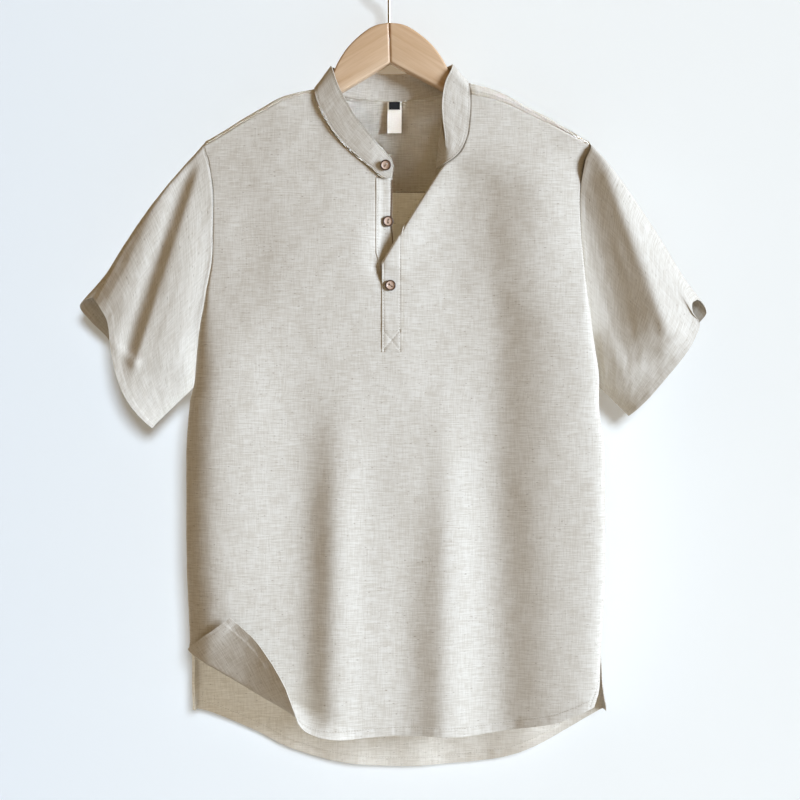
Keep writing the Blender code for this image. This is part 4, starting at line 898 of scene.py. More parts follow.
def panel_relief(edges, hems, fells, seams, pieces):
    """Relief of a panel from its edges: hems, flat-felled seams, plain seams, other finished edges."""
    def relief(s, z):
        total = waves(s, z, 11, 26.0, 0.10)
        for seed, name in enumerate(hems):
            total += hem_relief(*nearest(s, z, edges[name]), HEM_WIDE, seed + 0.7)
        for seed, name in enumerate(fells):
            total += seam_relief(*nearest(s, z, edges[name]), seed + 0.3)
        for name in seams:
            total -= (0.3 if "slit" in name else 0.9) * bell(nearest(s, z, edges[name])[0], 1.0)
        for seed, name in enumerate(pieces):
            total += edge_relief(*nearest(s, z, edges[name]), SPLIT_WIDE, seed + 0.5)
        return total
    return relief


def front():
    """The front: one piece below its slit, two halves above."""
    surfaces, edges = [], {}
    halves = ((-1, "left", hang_left, corner_line(), CORNER_LINES),
              (1, "right", hang_right, neck_line(), NECK_LINES))
    for hand, name, where, fold_line, offsets in halves:
        net, found = front_half(hand)
        edges.update({f"{key}_{name}": line for key, line in found.items()})
        surfaces.append(hung(net, where, fold_line, offsets))
    edges["hem"] = chain(edges["hem_left"], edges["hem_right"][::-1])
    relief = panel_relief(edges, ("hem",), ("armhole_left", "armhole_right"),
                          ("shoulder_left", "shoulder_right", "neck_left", "neck_right",
                           "side_left", "side_right", "slit_left", "slit_right"),
                          ("split_left", "split_right"))
    made = cloth("front_cloth", joined(*surfaces), CLOTH, relief)
    for hand, name, where, _, _ in halves:
        for key, distance in (("hem", HEM_WIDE), ("split", SPLIT_WIDE), ("armhole", TOPSTITCH)):
            line = inset(edges[f"{key}_{name}"], distance, (hand * 60.0, -500.0))
            stitch(made, where, at_shares(line, STITCH_POINTS))
    return made


def back():
    """The back, from the yoke seam to its longer, curved tail."""
    across = shares(BACK_LONG, BACK_COUNT, SEAM_MARKS, SEAM_MARKS)
    hem = to_cloth(through(BACK_HEM, across), BACK)
    top_z = YOKE_SEAM - SEAM_GAP / 2
    left = side_edge(BACK, -1, hem[0], top_z)
    right = side_edge(BACK, 1, hem[-1], top_z)
    left_edge, right_edge = chain(*left), chain(*right)
    top = np.stack([left_edge[-1][0] + (right_edge[-1][0] - left_edge[-1][0]) * across,
                    np.full(len(across), top_z)], axis=1)
    upward = (lengths(left_edge) / lengths(left_edge)[-1]
              + lengths(right_edge) / lengths(right_edge)[-1]) / 2
    net = coons(hem, top, left_edge, right_edge, across, upward)
    edges = {"hem": hem, "top": top, "split_left": left[0], "split_right": right[0],
             "side_left": left[1], "side_right": right[1],
             "armhole_left": left[2], "armhole_right": right[2]}
    relief = panel_relief(edges, ("hem",), ("armhole_left", "armhole_right"),
                          ("top", "side_left", "side_right"), ("split_left", "split_right"))
    made = cloth("back_cloth", hung(net, hang_back), CLOTH, relief, turned=True)
    middle = (0.0, -500.0)
    for key, distance in (("hem", HEM_WIDE), ("split_left", EDGE_STITCH),
                          ("split_right", EDGE_STITCH), ("split_left", SPLIT_WIDE),
                          ("split_right", SPLIT_WIDE), ("armhole_left", TOPSTITCH),
                          ("armhole_right", TOPSTITCH)):
        line = at_shares(inset(edges[key], distance, middle), 120)
        stitch(made, hang_back, line)
        if key == "hem":
            stitch(made, hang_back, line, inside=True)
    # a dark brown thread line just below the yoke seam, inside, paints the shade of its seam allowance
    stitch(made, hang_back, at_shares(inset(top, 0.9, middle), 200), inside=True, row=SHADE_LINE)
    return made


def over_ridge(x, drop, side):
    """A point of the yoke: at x, this far below the ridge, before it or behind it."""
    z = smooth(RIDGE, "x", "z", x) - drop
    middle, half, deep, arm = section(z, side)
    place = np.clip((x - middle) / half, -1, 1)
    y = shallower(depth_across(place, deep, arm, z), ridge_depth(drop, side))
    y = y + body_folds(x, z, side) * held(place)
    return np.stack([x, side * y, z], axis=-1)


TURN = np.linspace(0, math.pi / 2, 90)
BEND_DROP = RIDGE_HALF * (1 - np.cos(TURN) ** (2 / RIDGE_SQUARE))
BEND_DEPTH = RIDGE_HALF * np.sin(TURN) ** (2 / RIDGE_SQUARE)
BEND_RUN = np.concatenate(
    [[0.0], np.cumsum(np.hypot(np.diff(BEND_DROP), np.diff(BEND_DEPTH)))])


def ridge_run(drop):
    """Length over the ridge from its top to a drop."""
    return np.interp(drop, BEND_DROP, BEND_RUN) + np.maximum(drop - RIDGE_HALF, 0)


def ridge_drop(run):
    """The drop at a length over the ridge."""
    return np.interp(run, BEND_RUN, BEND_DROP) + np.maximum(run - BEND_RUN[-1], 0)


def edge_x(z, hand):
    """X of the armhole's seam at a height."""
    return float(smooth(SIDES, "z", "left" if hand < 0 else "right", z)) - hand * SEAM_GAP / 2


def yoke():
    """The yoke: from the back seam, over both shoulders, to the forward seams and round the neck."""
    ends = shares(SHOULDER_LONG, 34, SEAM_MARKS)
    left = seam_points(SIDES[1].left, FRONT_NECK_LEFT[-1].x, ends)
    right = seam_points(FRONT_NECK_RIGHT[-1].x, SIDES[1].right, 1 - ends[::-1])
    neck = through(BACK_NECK, 48)
    left_run, right_run = [
        -ridge_run(smooth(RIDGE, "x", "z", seam[:, 0]) - seam[:, 1]) + 0.1 for seam in (left, right)]
    neck_run = ridge_run(smooth(RIDGE, "x", "z", neck[:, 0]) - neck[:, 1]) - 0.6
    over = np.linspace(0, 1, 10)[1:-1]
    top_x = np.concatenate([
        left[:, 0], (1 - over) * left[-1, 0] + over * neck[0, 0], neck[:, 0],
        (1 - over) * neck[-1, 0] + over * right[0, 0], right[:, 0]])
    top_run = np.concatenate([
        left_run, (1 - over) * left_run[-1] + over * neck_run[0], neck_run,
        (1 - over) * neck_run[-1] + over * right_run[0], right_run])
    left_bottom, right_bottom = edge_x(YOKE_SEAM, -1), edge_x(YOKE_SEAM, 1)
    bottom_x = left_bottom + (right_bottom - left_bottom) * (top_x - top_x[0]) / np.ptp(top_x)
    bottom_run = ridge_run(smooth(RIDGE, "x", "z", bottom_x) - YOKE_SEAM - SEAM_GAP / 2)
    bends = np.concatenate([np.full(5, -40.0), np.linspace(-18.0, 18.0, 34)])
    lows = shares(YOKE_DEEP, 24, (0.0,), EDGE_MARKS)[1:]
    rows, runs = [], []
    for k in range(len(bends) + len(lows)):     # first over the ridge, then down to the back seam
        low = 0.0 if k < len(bends) else lows[k - len(bends)]
        start = top_run + EDGE_MARKS[min(k, len(EDGE_MARKS) - 1)]
        run = np.maximum(start, bends[min(k, len(bends) - 1)] * (1 - low) + bottom_run * low)
        x = bottom_x * low + top_x * (1 - low)
        for _ in range(2):
            drop = ridge_drop(np.abs(run))
            z = smooth(RIDGE, "x", "z", x) - drop
            x[0], x[-1] = edge_x(z[0], -1), edge_x(z[-1], 1)
        before, behind = over_ridge(x, drop, FRONT), over_ridge(x, drop, BACK)
        rows.append(np.where((run < 0)[:, None], before, behind))
        runs.append(np.stack([x, -run], axis=1))
    rows, runs = np.array(rows)[::-1], np.array(runs)[::-1]
    bm = bmesh.new()
    grid(bm, rows, runs)
    top_line = np.stack([top_x, -top_run], axis=1)
    bottom_line = np.stack([bottom_x, -bottom_run], axis=1)
    ends_line = {-1: runs[:, 0], 1: runs[:, -1]}

    def relief(s, z):
        total = waves(s, z, 11, 26.0, 0.08)
        for line in (top_line, bottom_line):
            gap, along = nearest(s, z, line)
            total += edge_relief(gap, along, 2.6, 0.4) - 0.8 * bell(gap, 0.8)
        for hand in (-1, 1):
            total += seam_relief(*nearest(s, z, ends_line[hand]), hand + 1.3)
        return total

    made = cloth("yoke_cloth", bm, CLOTH, relief, turned=True)
    stitch_rows(made, rows, (len(rows) - 5, 4))
    return made


# ---------------------------------------------------------------- sleeves
SLEEVE_TOP, SLEEVE_LONG = -200.0, 150.0  # where the sleeve starts in its UV map, and how long it is
SLEEVE_APART = 900.0                     # and how far apart the two lie there
TIP_START = 0.78         # share of the sleeve's length past which its open end is no longer even
CAP_SHARE = 0.22         # and over which its front fills out below the armhole


def armhole(hand, count):
    """The armhole, from the underarm up its front and down its back, two lists."""
    tip_x = edge_x(SIDES[1].z, hand)
    tip_z = float(smooth(RIDGE, "x", "z", tip_x))
    lists = []
    for side in (FRONT, BACK):
        z = np.linspace(UNDERARM, tip_z, 80)
        _, _, _, arm = section(z, side)
        x = np.array([edge_x(value, hand) for value in z])
        y = side * shallower(arm, ridge_depth(tip_z - z, side))
        lists.append(at_shares(np.stack([x, y, z], axis=1), count))
    return lists[0], lists[1][::-1]


def sleeve(name, hand):
    """A short sleeve: rings from the armhole to its stitched hem."""
    half = 74
    start_front, start_back = armhole(hand, half)
    end_front, end_back = [through(edge, half) for edge in SLEEVE_HEMS[name]]
    start = chain(start_front, start_back)
    end = chain(end_front, end_back)
    start[:, 0] += hand * 0.2
    turn = np.linspace(0, 1, len(start))
    outer = bell(turn - 0.5, 0.16)
    along = shares(SLEEVE_LONG, 40, SEAM_MARKS, HEM_MARKS)
    around = turn * lengths(end)[-1]
    rows = []
    calm = end.copy()                    # the open end without its turned-up tips
    for _ in range(60):
        calm[1:-1] = (calm[:-2] + 2 * calm[1:-1] + calm[2:]) / 4
    for t in along:
        rolled = step((t - TIP_START) / (1 - TIP_START))
        ring = start * (1 - t) + (calm * (1 - rolled) + end * rolled) * t
        bow = SLEEVE_BULGE[name] * math.sin(math.pi * t) * outer
        ring[:, 0] += hand * bow * 0.8
        ring[:, 2] += bow * 0.6
        depth = -ring[:, 1].min()
        fuller = 1 - 0.4 * step(t / CAP_SHARE)
        ring[:, 1] = np.where(ring[:, 1] < 0, -depth * (np.maximum(-ring[:, 1], 0) / depth) ** fuller,
                              ring[:, 1])
        facing = np.clip(-ring[:, 1] / 8.0, 0, 1)
        puff = fold_height(ring[:, 0], ring[:, 2], SLEEVE_FOLDS[name] + SLEEVE_CREASES[name])
        behind = np.clip(ring[:, 1] / 12.0, 0, 1)
        dent = fold_height(ring[:, 0], ring[:, 2], SLEEVE_BACK_CREASES[name])
        ring[:, 1] += dent * behind - puff * facing
        rows.append(ring)
    rows = np.array(rows)
    spread = np.stack(np.meshgrid(around + hand * SLEEVE_APART + 300.0,
                                  SLEEVE_TOP - along * SLEEVE_LONG), axis=2)
    bm = bmesh.new()
    grid(bm, rows[:, :-1], spread, closed=True)

    def relief(s, z):
        gap = SLEEVE_TOP - z
        edge = SLEEVE_LONG - gap
        total = waves(s, z, 13, 24.0, 0.12) - 0.3 * bell(gap, 0.9) + 0.1 * bell(gap - 3, 2)
        return total + hem_relief(edge, s, HEM_WIDE, hand + 1.9) * 0.4

    return cloth(f"sleeve_{name}_cloth", bm, CLOTH, relief, turned=hand > 0)


# ---------------------------------------------------------------- collar and placket
STRIP_MARKS = (0, 0.6, 1.3, 2, 2.7, 4)   # closer lines of the mesh along the edges of a strip
BAND_WIDE = 28.0
BAND_START = 100.0                       # where the band's edge lies across its UV map
BOX_HIGH = 21.0                          # the stitched box and cross at the placket's foot
UNDERLAP_BEHIND = -352.0                 # below this the buttons' strip is all behind the other one


def collar_band():
    """The band collar, standing round the neck seam, its right end turned in."""
    base = np.array([(row.x, row.y, row.z) for row in BAND])
    free = np.array([(row.top_x, row.top_y, row.top_z) for row in BAND])
    dense = through(np.concatenate([base, free], axis=1), 400)
    run = lengths(dense[:, :3])
    where = np.linspace(0, run[-1], 210)
    even = np.stack([np.interp(where, run, dense[:, k]) for k in range(6)], axis=1)
    up = shares(BAND_WIDE, 8, STRIP_MARKS, STRIP_MARKS)
    net = np.array([even[:, :3] * (1 - t) + even[:, 3:] * t for t in up])
    spread = np.stack(np.meshgrid(where, up * BAND_WIDE + BAND_START), axis=2)
    bm = bmesh.new()
    grid(bm, net, spread)

    def relief(s, z):
        edge = np.minimum(z - BAND_START, BAND_START + BAND_WIDE - z)
        return edge_relief(edge, s, EDGE_STITCH, 0.9) * 0.5 + waves(s, z, 17, 14.0, 0.16)

    made = cloth("collar_band_cloth", bm, BAND_CLOTH, relief, turned=True, rounded=0.5)
    stitch_rows(made, net, (3, len(up) - 4))
    return made


def strip_relief(edges, cross, seed, pucker, lifted):
    """Relief of a placket strip from its stitched edges and from the cross stitched at its foot."""
    def relief(s, z):
        total = waves(s, z, seed, 16.0, 0.10) + lifted
        for line in edges:
            total += edge_relief(*nearest(s, z, line), EDGE_STITCH, pucker)
        for line in cross:
            total -= 0.45 * bell(nearest(s, z, line)[0], 1.0)
        return total
    return relief


def strip_net(net):
    """Pattern points of a strip's grid of places (x, z)."""
    return to_cloth(net.reshape(-1, 2), FRONT).reshape(net.shape)


def placket_overlap():
    """The strip with the buttonholes: sewn along the right front's slit, folded in above."""
    seam = SLIT_RIGHT - SLIT_OPEN
    bend = np.array([seam, SLIT_BEND])
    lean = np.array(FRONT_NECK_RIGHT[0]) - (SLIT_RIGHT, SLIT_BEND)
    lean /= np.linalg.norm(lean)
    square = np.array([-lean[1], lean[0]])
    free = bend + square * (seam - OVERLAP_EDGE)
    left_edge = np.array([
        (OVERLAP_EDGE, SLIT_BOTTOM), (OVERLAP_EDGE, -380.0), NECK_FOLD_LOW,
        (OVERLAP_EDGE, NECK_FOLD_LOW.z + 12.0), free, free + lean * 54.0])
    right_edge = np.array([
        (SLIT_RIGHT, SLIT_BOTTOM), (SLIT_RIGHT, -356.0), (SLIT_RIGHT, SLIT_BEND),
        bend + lean * 12.0 + square * 0.2, bend + lean * 26.0 + square * 0.3,
        bend + lean * 54.0 + square * 0.3])
    across = shares(22.0, 15, STRIP_MARKS, STRIP_MARKS)
    rows = []
    for k, count in enumerate((76, 10, 14, 6, 18)):
        for t in np.linspace(0, 1, count + 1)[0 if k == 0 else 1:]:
            a = left_edge[k] * (1 - t) + left_edge[k + 1] * t
            b = right_edge[k] * (1 - t) + right_edge[k + 1] * t
            rows.append([a + (b - a) * share for share in across])
    net = strip_net(np.array(rows))
    foot = to_cloth([(OVERLAP_EDGE, SLIT_BOTTOM), (SLIT_RIGHT, SLIT_BOTTOM)], FRONT)
    low, high = SLIT_BOTTOM + EDGE_STITCH, SLIT_BOTTOM + EDGE_STITCH + BOX_HIGH
    inner, outer = OVERLAP_EDGE + EDGE_STITCH, SLIT_RIGHT - EDGE_STITCH
    cross = [to_cloth(path, FRONT) for path in (
        [(inner, high), (outer, high)], [(inner, low), (outer, high)],
        [(inner, high), (outer, low)])]
    relief = strip_relief((net[:, 0], net[:, -1], foot), cross, 19, 0.6, 0.45)
    made = cloth("placket_overlap_cloth", hung(net, hang_right, neck_line(), NECK_LINES),
                 STRIP_CLOTH, relief, rounded=0.4)
    rows = [to_cloth(path, FRONT) for path in (
        [(inner, low), (inner, -362.0)], [(outer, low), (outer, -330.0)],
        [(inner, low), (outer, low)])]
    for line in rows + cross:
        stitch(made, hang_right, at_shares(line, 30))
    return made


def slit_left(z):
    """X of the left front's slit edge at a height."""
    return np.interp(z, (SLIT_HIDDEN.z, SLIT_SHOWN.z), (SLIT_HIDDEN.x, SLIT_SHOWN.x))


def hang_underlap(s, z):
    """The buttons' strip: flush with the left front at its seam, behind the other strip's place."""
    x = skin(s, z, FRONT)[:, 0]
    behind = (STRIP_CLOTH + LAYER_GAP) * np.maximum(step((x - slit_left(z) - 1.0) / 6.0),
                                                    step((UNDERLAP_BEHIND - z) / 16))
    return drape(s, z, FRONT, -behind - sink(x, z))


def placket_underlap():
    """The strip with the buttons: sewn along the left front's slit."""
    z = np.linspace(SLIT_BOTTOM, PLACKET_TOP + 1.0, 80)
    share, height = np.meshgrid(shares(18.0, 5, STRIP_MARKS, STRIP_MARKS[:-1]), z)
    left = slit_left(height)
    net = strip_net(np.stack([left + (UNDERLAP_EDGE - left) * share, height], axis=2))
    relief = strip_relief((net[:, 0], net[:, -1]), (), 23, 0.2, 0.15)
    made = cloth("placket_underlap_cloth", hung(net, hang_underlap), STRIP_CLOTH, relief,
                 rounded=0.4)
    for x, low in ((SLIT_LEFT + EDGE_STITCH, SLIT_SHOWN.z), (UNDERLAP_EDGE - EDGE_STITCH, -440.0)):
        stitch(made, hang_underlap, at_shares(to_cloth([(x, low), (x, -260.0)], FRONT), 60))
    # a dark brown thread line along the strip's free edge paints the shade beside that edge
    edge = to_cloth([(UNDERLAP_EDGE - 0.35, -346.0), (UNDERLAP_EDGE - 0.35, -259.0)], FRONT)
    stitch(made, hang_underlap, at_shares(edge, 80), row=SHADE_LINE)
    return made


# ---------------------------------------------------------------- stitches
Row = namedtuple("Row", "pitch long thick")
TOPSTITCHED = Row(3.1, 2.3, 0.42)
SHADE_LINE = Row(1.6, 2.0, 1.3)            # brown thread lines that paint shade: below the yoke seam inside, and along the buttons' strip's edge
SEAM_PATHS = {TOPSTITCHED: [], SHADE_LINE: []}
SEW_REACH = 1.7          # how far outside a piece's middle its face is looked for


def sew_down(made, spots, out, row=TOPSTITCHED):
    """The path of a row of stitches: the places where lines against `out` meet the cloth, in metres."""
    tree = BVHTree.FromPolygons([vert.co for vert in made.data.vertices],
                                [tuple(face.vertices) for face in made.data.polygons])
    path, paths = [], SEAM_PATHS[row]
    for spot, way in zip(spots, out):
        way = Vector(way).normalized()
        hit, normal, _, _ = tree.ray_cast(Vector(spot) * MM + way * SEW_REACH * MM, -way, 3.2 * MM)
        if hit:
            path.append(hit + normal * 0.05 * MM)
        elif len(path) > 1:
            paths.append(path)
            path = []
    if len(path) > 1:
        paths.append(path)


def stitch(made, where, line, inside=False, row=TOPSTITCHED):
    """A row of stitches along a line of pattern points."""
    s, z = line[:, 0], line[:, 1]
    out = np.cross(where(s + 0.5, z) - where(s - 0.5, z), where(s, z + 0.5) - where(s, z - 0.5))
    sign = -1.0 if (where is hang_back) != inside else 1.0
    sew_down(made, where(s, z), out * sign, row)


def stitch_rows(made, rows, indices):
    """Rows of stitches along rows of a grid whose outside is against its rows' and columns' turn."""
    along, up = np.gradient(rows, axis=1), np.gradient(rows, axis=0)
    out = -np.cross(along, up)
    for index in indices:
        sew_down(made, rows[index], out[index])


def stitch_tree(thread):
    """Geometry nodes: one small padded stitch after another along each seam path."""
    tree = bpy.data.node_groups.new("Rows of stitches", "GeometryNodeTree")
    face = tree.interface
    face.new_socket("Geometry", in_out="INPUT", socket_type="NodeSocketGeometry")
    for name in ("Pitch", "Length", "Thickness"):
        face.new_socket(name, in_out="INPUT", socket_type="NodeSocketFloat")
    face.new_socket("Geometry", in_out="OUTPUT", socket_type="NodeSocketGeometry")
    start = tree.nodes.new("NodeGroupInput")
    curve = node(tree, "GeometryNodeMeshToCurve", {"Mesh": start.outputs["Geometry"]})
    points = node(tree, "GeometryNodeCurveToPoints",
                  {"Curve": curve.outputs[0], "Length": start.outputs["Pitch"]}, mode="LENGTH")
    turn = node(tree, "FunctionNodeAlignRotationToVector", {"Vector": points.outputs["Tangent"]},
                axis="X")
    shape = node(tree, "GeometryNodeMeshUVSphere", {"Segments": 6, "Rings": 4, "Radius": 0.5})
    size = node(tree, "ShaderNodeCombineXYZ", {
        "X": start.outputs["Length"], "Y": start.outputs["Thickness"],
        "Z": start.outputs["Thickness"]})
    spots = node(tree, "GeometryNodeInstanceOnPoints", {
        "Points": points.outputs["Points"], "Instance": shape.outputs["Mesh"],
        "Rotation": turn.outputs[0], "Scale": size.outputs[0]})
    real = node(tree, "GeometryNodeRealizeInstances", {"Geometry": spots.outputs[0]})
    smooth_look = node(tree, "GeometryNodeSetShadeSmooth", {"Geometry": real.outputs[0]})
    coat = node(tree, "GeometryNodeSetMaterial", {"Geometry": smooth_look.outputs[0]})
    coat.inputs["Material"].default_value = thread
    end = tree.nodes.new("NodeGroupOutput")
    tree.links.new(coat.outputs[0], end.inputs["Geometry"])
    return tree


def stitches(name, row, thread):
    """Every row of one kind of stitches of the shirt, as one piece."""
    mesh = bpy.data.meshes.new(name)
    spots, edges = [], []
    for path in SEAM_PATHS[row]:
        edges += [(len(spots) + k, len(spots) + k + 1) for k in range(len(path) - 1)]
        spots += [tuple(spot) for spot in path]
    mesh.from_pydata(spots, edges, [])
    made = piece(name, mesh)
    rows = made.modifiers.new("Rows of stitches", "NODES")
    rows.node_group = stitch_tree(thread)
    sizes = {"Pitch": row.pitch, "Length": row.long, "Thickness": row.thick}
    for item in rows.node_group.interface.items_tree:
        if item.in_out == "INPUT" and item.name in sizes:
            rows[item.identifier] = sizes[item.name] * MM
    return whole(made)


# ---------------------------------------------------------------- buttons and labels
def lathe(bm, profile, steps):
    """A turned shape round +Z from its (radius, height) profile, top middle to bottom middle."""
    rings = []
    for radius, height in profile:
        if radius == 0.0:
            rings.append([bm.verts.new((0.0, 0.0, height))])
        else:
            rings.append([bm.verts.new((radius * math.cos(a), radius * math.sin(a), height))
                          for a in np.linspace(0, 2 * math.pi, steps, endpoint=False)])
    for upper, lower in zip(rings, rings[1:]):
        for k in range(steps):
            n = (k + 1) % steps
            a, b = upper[k % len(upper)], upper[n % len(upper)]
            c, d = lower[n % len(lower)], lower[k % len(lower)]
            corners = list(dict.fromkeys((a, d, c, b)))
            bm.faces.new(corners)


BUTTON_SHAPE = (         # radius as a share of the button's, height above the cloth
    (0.0, 1.45), (0.3, 1.45), (0.52, 1.5), (0.62, 1.62), (0.69, 1.9), (0.74, 2.25), (0.79, 2.5),
    (0.85, 2.6), (0.92, 2.52), (0.97, 2.2), (1.0, 1.7), (0.99, 1.1), (0.95, 0.6), (0.86, 0.2),
    (0.72, 0.0), (0.4, -0.05), (0.0, -0.05))


BUTTON_HOLES = [Vector((hand * BUTTON_HOLES_APART / 2, 0, 0)) for hand in (-1, 1)]
RIM_START = 0.73         # the dark rim, as a share of the button's radius


def drill(made):
    """The button's two holes, cut through it."""
    cutters = []
    for spot in BUTTON_HOLES:
        hole = bmesh.new()
        bmesh.ops.create_cone(hole, cap_ends=True, segments=20, radius1=BUTTON_HOLE / 2,
                              radius2=BUTTON_HOLE / 2 + 0.12, depth=6.0)
        bmesh.ops.translate(hole, verts=hole.verts, vec=spot + Vector((0, 0, 1.0)))
        cutters.append(added("hole", mesh_of("hole", hole)))
        cut = made.modifiers.new("Hole", "BOOLEAN")
        cut.object = cutters[-1]
    whole(made)
    for cutter in cutters:
        bpy.data.objects.remove(cutter)


def button_thread():
    """Two turns of thread over a button, from hole to hole."""
    thread = bmesh.new()
    span = BUTTON_HOLES_APART / 2 - 0.1
    for side in (-0.2, 0.2):
        arc = [(-span, side, 0.7), (-span, side, 1.5), (-span * 0.6, side, 1.78), (0, side, 1.84),
               (span * 0.6, side, 1.78), (span, side, 1.5), (span, side, 0.7)]
        tube(thread, arc, 0.15, 6)
    return mesh_of("thread", thread)


def button(name, centre, out, spin):
    """A two-hole button with a raised rim, sewn on with a few turns of thread."""
    radius = BUTTON_ACROSS / 2
    turned = bmesh.new()
    lathe(turned, [(r * radius, h) for r, h in BUTTON_SHAPE], 48)
    made = piece(name, mesh_of(name, turned), COCONUT)
    drill(made)
    for face in made.data.polygons:
        spot = face.center.copy()
        if spot.xy.length > RIM_START * radius:
            face.material_index = 2
        # faces in and beside the holes take a near-black finish: painted shade in the holes
        elif (spot.z > 0 and min((spot - hole).xy.length for hole in BUTTON_HOLES)
                < BUTTON_HOLE / 2 + 0.1):
            face.material_index = 3
    whole_button = bmesh.new()
    whole_button.from_mesh(made.data)
    shell_faces = len(whole_button.faces)
    whole_button.from_mesh(button_thread())
    whole_button.faces.ensure_lookup_table()
    for face in whole_button.faces[shell_faces:]:
        face.material_index = 1
        face.smooth = True
    turn = Vector(out).to_track_quat("Z", "Y").to_matrix().to_4x4()
    where = Matrix.Translation(Vector(centre) * MM) @ turn
    where = where @ Matrix.Rotation(math.radians(spin), 4, "Z") @ Matrix.Scale(MM, 4)
    bmesh.ops.transform(whole_button, matrix=where, verts=whole_button.verts)
    whole_button.to_mesh(made.data)
    whole_button.free()
    for look in (BUTTON_THREAD, COCONUT_RIM, COCONUT_HOLE_SHADE):
        made.data.materials.append(look)
    made.data.set_sharp_from_angle(angle=math.radians(60))
    return made


def tube(bm, route, radius, sides):
    """A closed round tube along a route."""
    route = np.array(route, float)
    along = np.gradient(route, axis=0)
    across = np.array([0.0, 1.0, 0.0]) if np.ptp(route[:, 1]) < 1e-6 else np.array([0.0, 0.0, 1.0])
    rings = []
    for spot, way in zip(route, along):
        side = np.cross(way, across)
        side /= np.linalg.norm(side)
        other = np.cross(side, way)
        other /= np.linalg.norm(other)
        rings.append([bm.verts.new(spot + radius * (math.cos(a) * side + math.sin(a) * other))
                      for a in np.linspace(0, 2 * math.pi, sides, endpoint=False)])
    for upper, lower in zip(rings, rings[1:]):
        for k in range(sides):
            n = (k + 1) % sides
            bm.faces.new((upper[k], upper[n], lower[n], lower[k]))
    bm.faces.new(rings[0][::-1])
    bm.faces.new(rings[-1])


def placket_button(name, x, z, where, cloth_thick, spin):
    """A button sewn on a placket strip."""
    s, z = to_cloth([(x, z)], FRONT)[0]
    spot = np.array([[s - 3, z], [s + 3, z], [s, z + 3], [s, z - 3], [s, z]])
    left, right, up, down, middle = where(spot[:, 0], spot[:, 1])
    out = np.cross(right - left, up - down)
    out /= np.linalg.norm(out)
    return button(name, middle + out * (cloth_thick / 2 + LAYER_GAP), out, spin)


def label(name, width, height, top, lean, material):
    """A woven label, hanging from its top edge, with a slight lean and wave."""
    bm = bmesh.new()
    down = np.linspace(0, 1, 22)
    marks = (0, 0.4, 0.9)
    across = shares(width, 6, marks, marks)
    net = np.array([[(top[0] + width * u, top[1] + lean * t * t - 0.3 * math.sin(3.1 * t) *
                      math.sin(math.pi * u), top[2] - height * t) for u in across]
                    for t in down])[::-1]
    spread = np.stack(np.meshgrid(across * width, -down[::-1] * height), axis=2)
    grid(bm, net, spread)
    mesh = mesh_of(name, bm)
    mesh.transform(Matrix.Scale(MM, 4))
    made = piece(name, mesh, material)
    thicken(made, LABEL_CLOTH)
    return whole(made)


# ---------------------------------------------------------------- hanger
def polyline(curve, points):
    """Points in millimetres as the curve's one spline."""
    spline = curve.splines.new("POLY")
    spline.points.add(len(points) - 1)
    for point, spot in zip(spline.points, points):
        point.co = (*(value * MM for value in spot), 1.0)


def curve_mesh(curve):
    """A plain mesh of a curve with its thickness, without its materials."""
    holder = added(curve.name, curve)
    mesh = worked_out(holder)
    bpy.data.objects.remove(holder)
    mesh.materials.clear()
    return mesh


def hanger_arm(name, hand):
    """Half of the wooden hanger, mitred to the other half at the middle."""
    upper = through(HANGER_UPPER, 60)
    lower = through(HANGER_LOWER, 36)
    tip = through([HANGER_UPPER[-1], (199.2, -217.6), HANGER_LOWER[0]], 6)[1:-1]
    outline = np.concatenate([upper, tip, lower])
    outline[0][0] = outline[-1][0] = MITRE_GAP / 2
    curve = bpy.data.curves.new(name, "CURVE")
    curve.dimensions = "2D"
    curve.fill_mode = "BOTH"
    curve.extrude = (HANGER_THICK / 2 - HANGER_EDGE) * MM
    curve.bevel_depth = HANGER_EDGE * MM
    curve.bevel_resolution = 4
    curve.offset = -HANGER_EDGE * MM
    polyline(curve, [(hand * x, z, 0.0) for x, z in outline])
    curve.splines[0].use_cyclic_u = True
    mesh = curve_mesh(curve)
    mesh.transform(Euler((math.pi / 2, 0, 0)).to_matrix().to_4x4())
    bm = bmesh.new()
    bm.from_mesh(mesh)
    bmesh.ops.remove_doubles(bm, verts=bm.verts, dist=0.00002)
    bmesh.ops.recalc_face_normals(bm, faces=bm.faces)
    pivot = Matrix.Translation((0, 0, HANGER_TOP * MM))
    tilt = pivot @ Matrix.Rotation(-HANGER_TILT, 4, "Y") @ pivot.inverted()
    bmesh.ops.transform(bm, matrix=tilt, verts=bm.verts)
    return piece(name, smoothed(mesh_of(name, bm), 35), WOOD)


def hook():
    """The wire hook: a straight shank that swings back into an open loop."""
    middle = HOOK_INNER + WIRE / 2
    centre_z = -HOOK_INNER
    foot = HANGER_TOP - HOOK_SEAT + 1.0
    shank = [(0.0, z) for z in np.linspace(foot, centre_z - middle - 13.0, 6)]
    swing = through([shank[-1], (-0.6, centre_z - middle - 8.0), (-6.6, centre_z - middle + 0.6)], 9)
    loop = [(middle * math.sin(a), centre_z + middle * math.cos(a))
            for a in np.radians(np.linspace(-148.0, 96.0, 60))]
    tip = [(middle + 0.4, centre_z - 6.0), (middle + 0.8, centre_z - 7.0)]
    route = shank[:-1] + [tuple(point) for point in swing[:-1]] + loop + tip
    curve = bpy.data.curves.new("wire_hook", "CURVE")
    curve.dimensions = "3D"
    curve.bevel_depth = WIRE / 2 * MM
    curve.bevel_resolution = 6
    curve.use_fill_caps = True
    polyline(curve, [(x, 0.0, z) for x, z in route])
    curve.splines[0].points[-1].radius = 0.55
    return piece("wire_hook", smoothed(curve_mesh(curve), 50), STEEL)


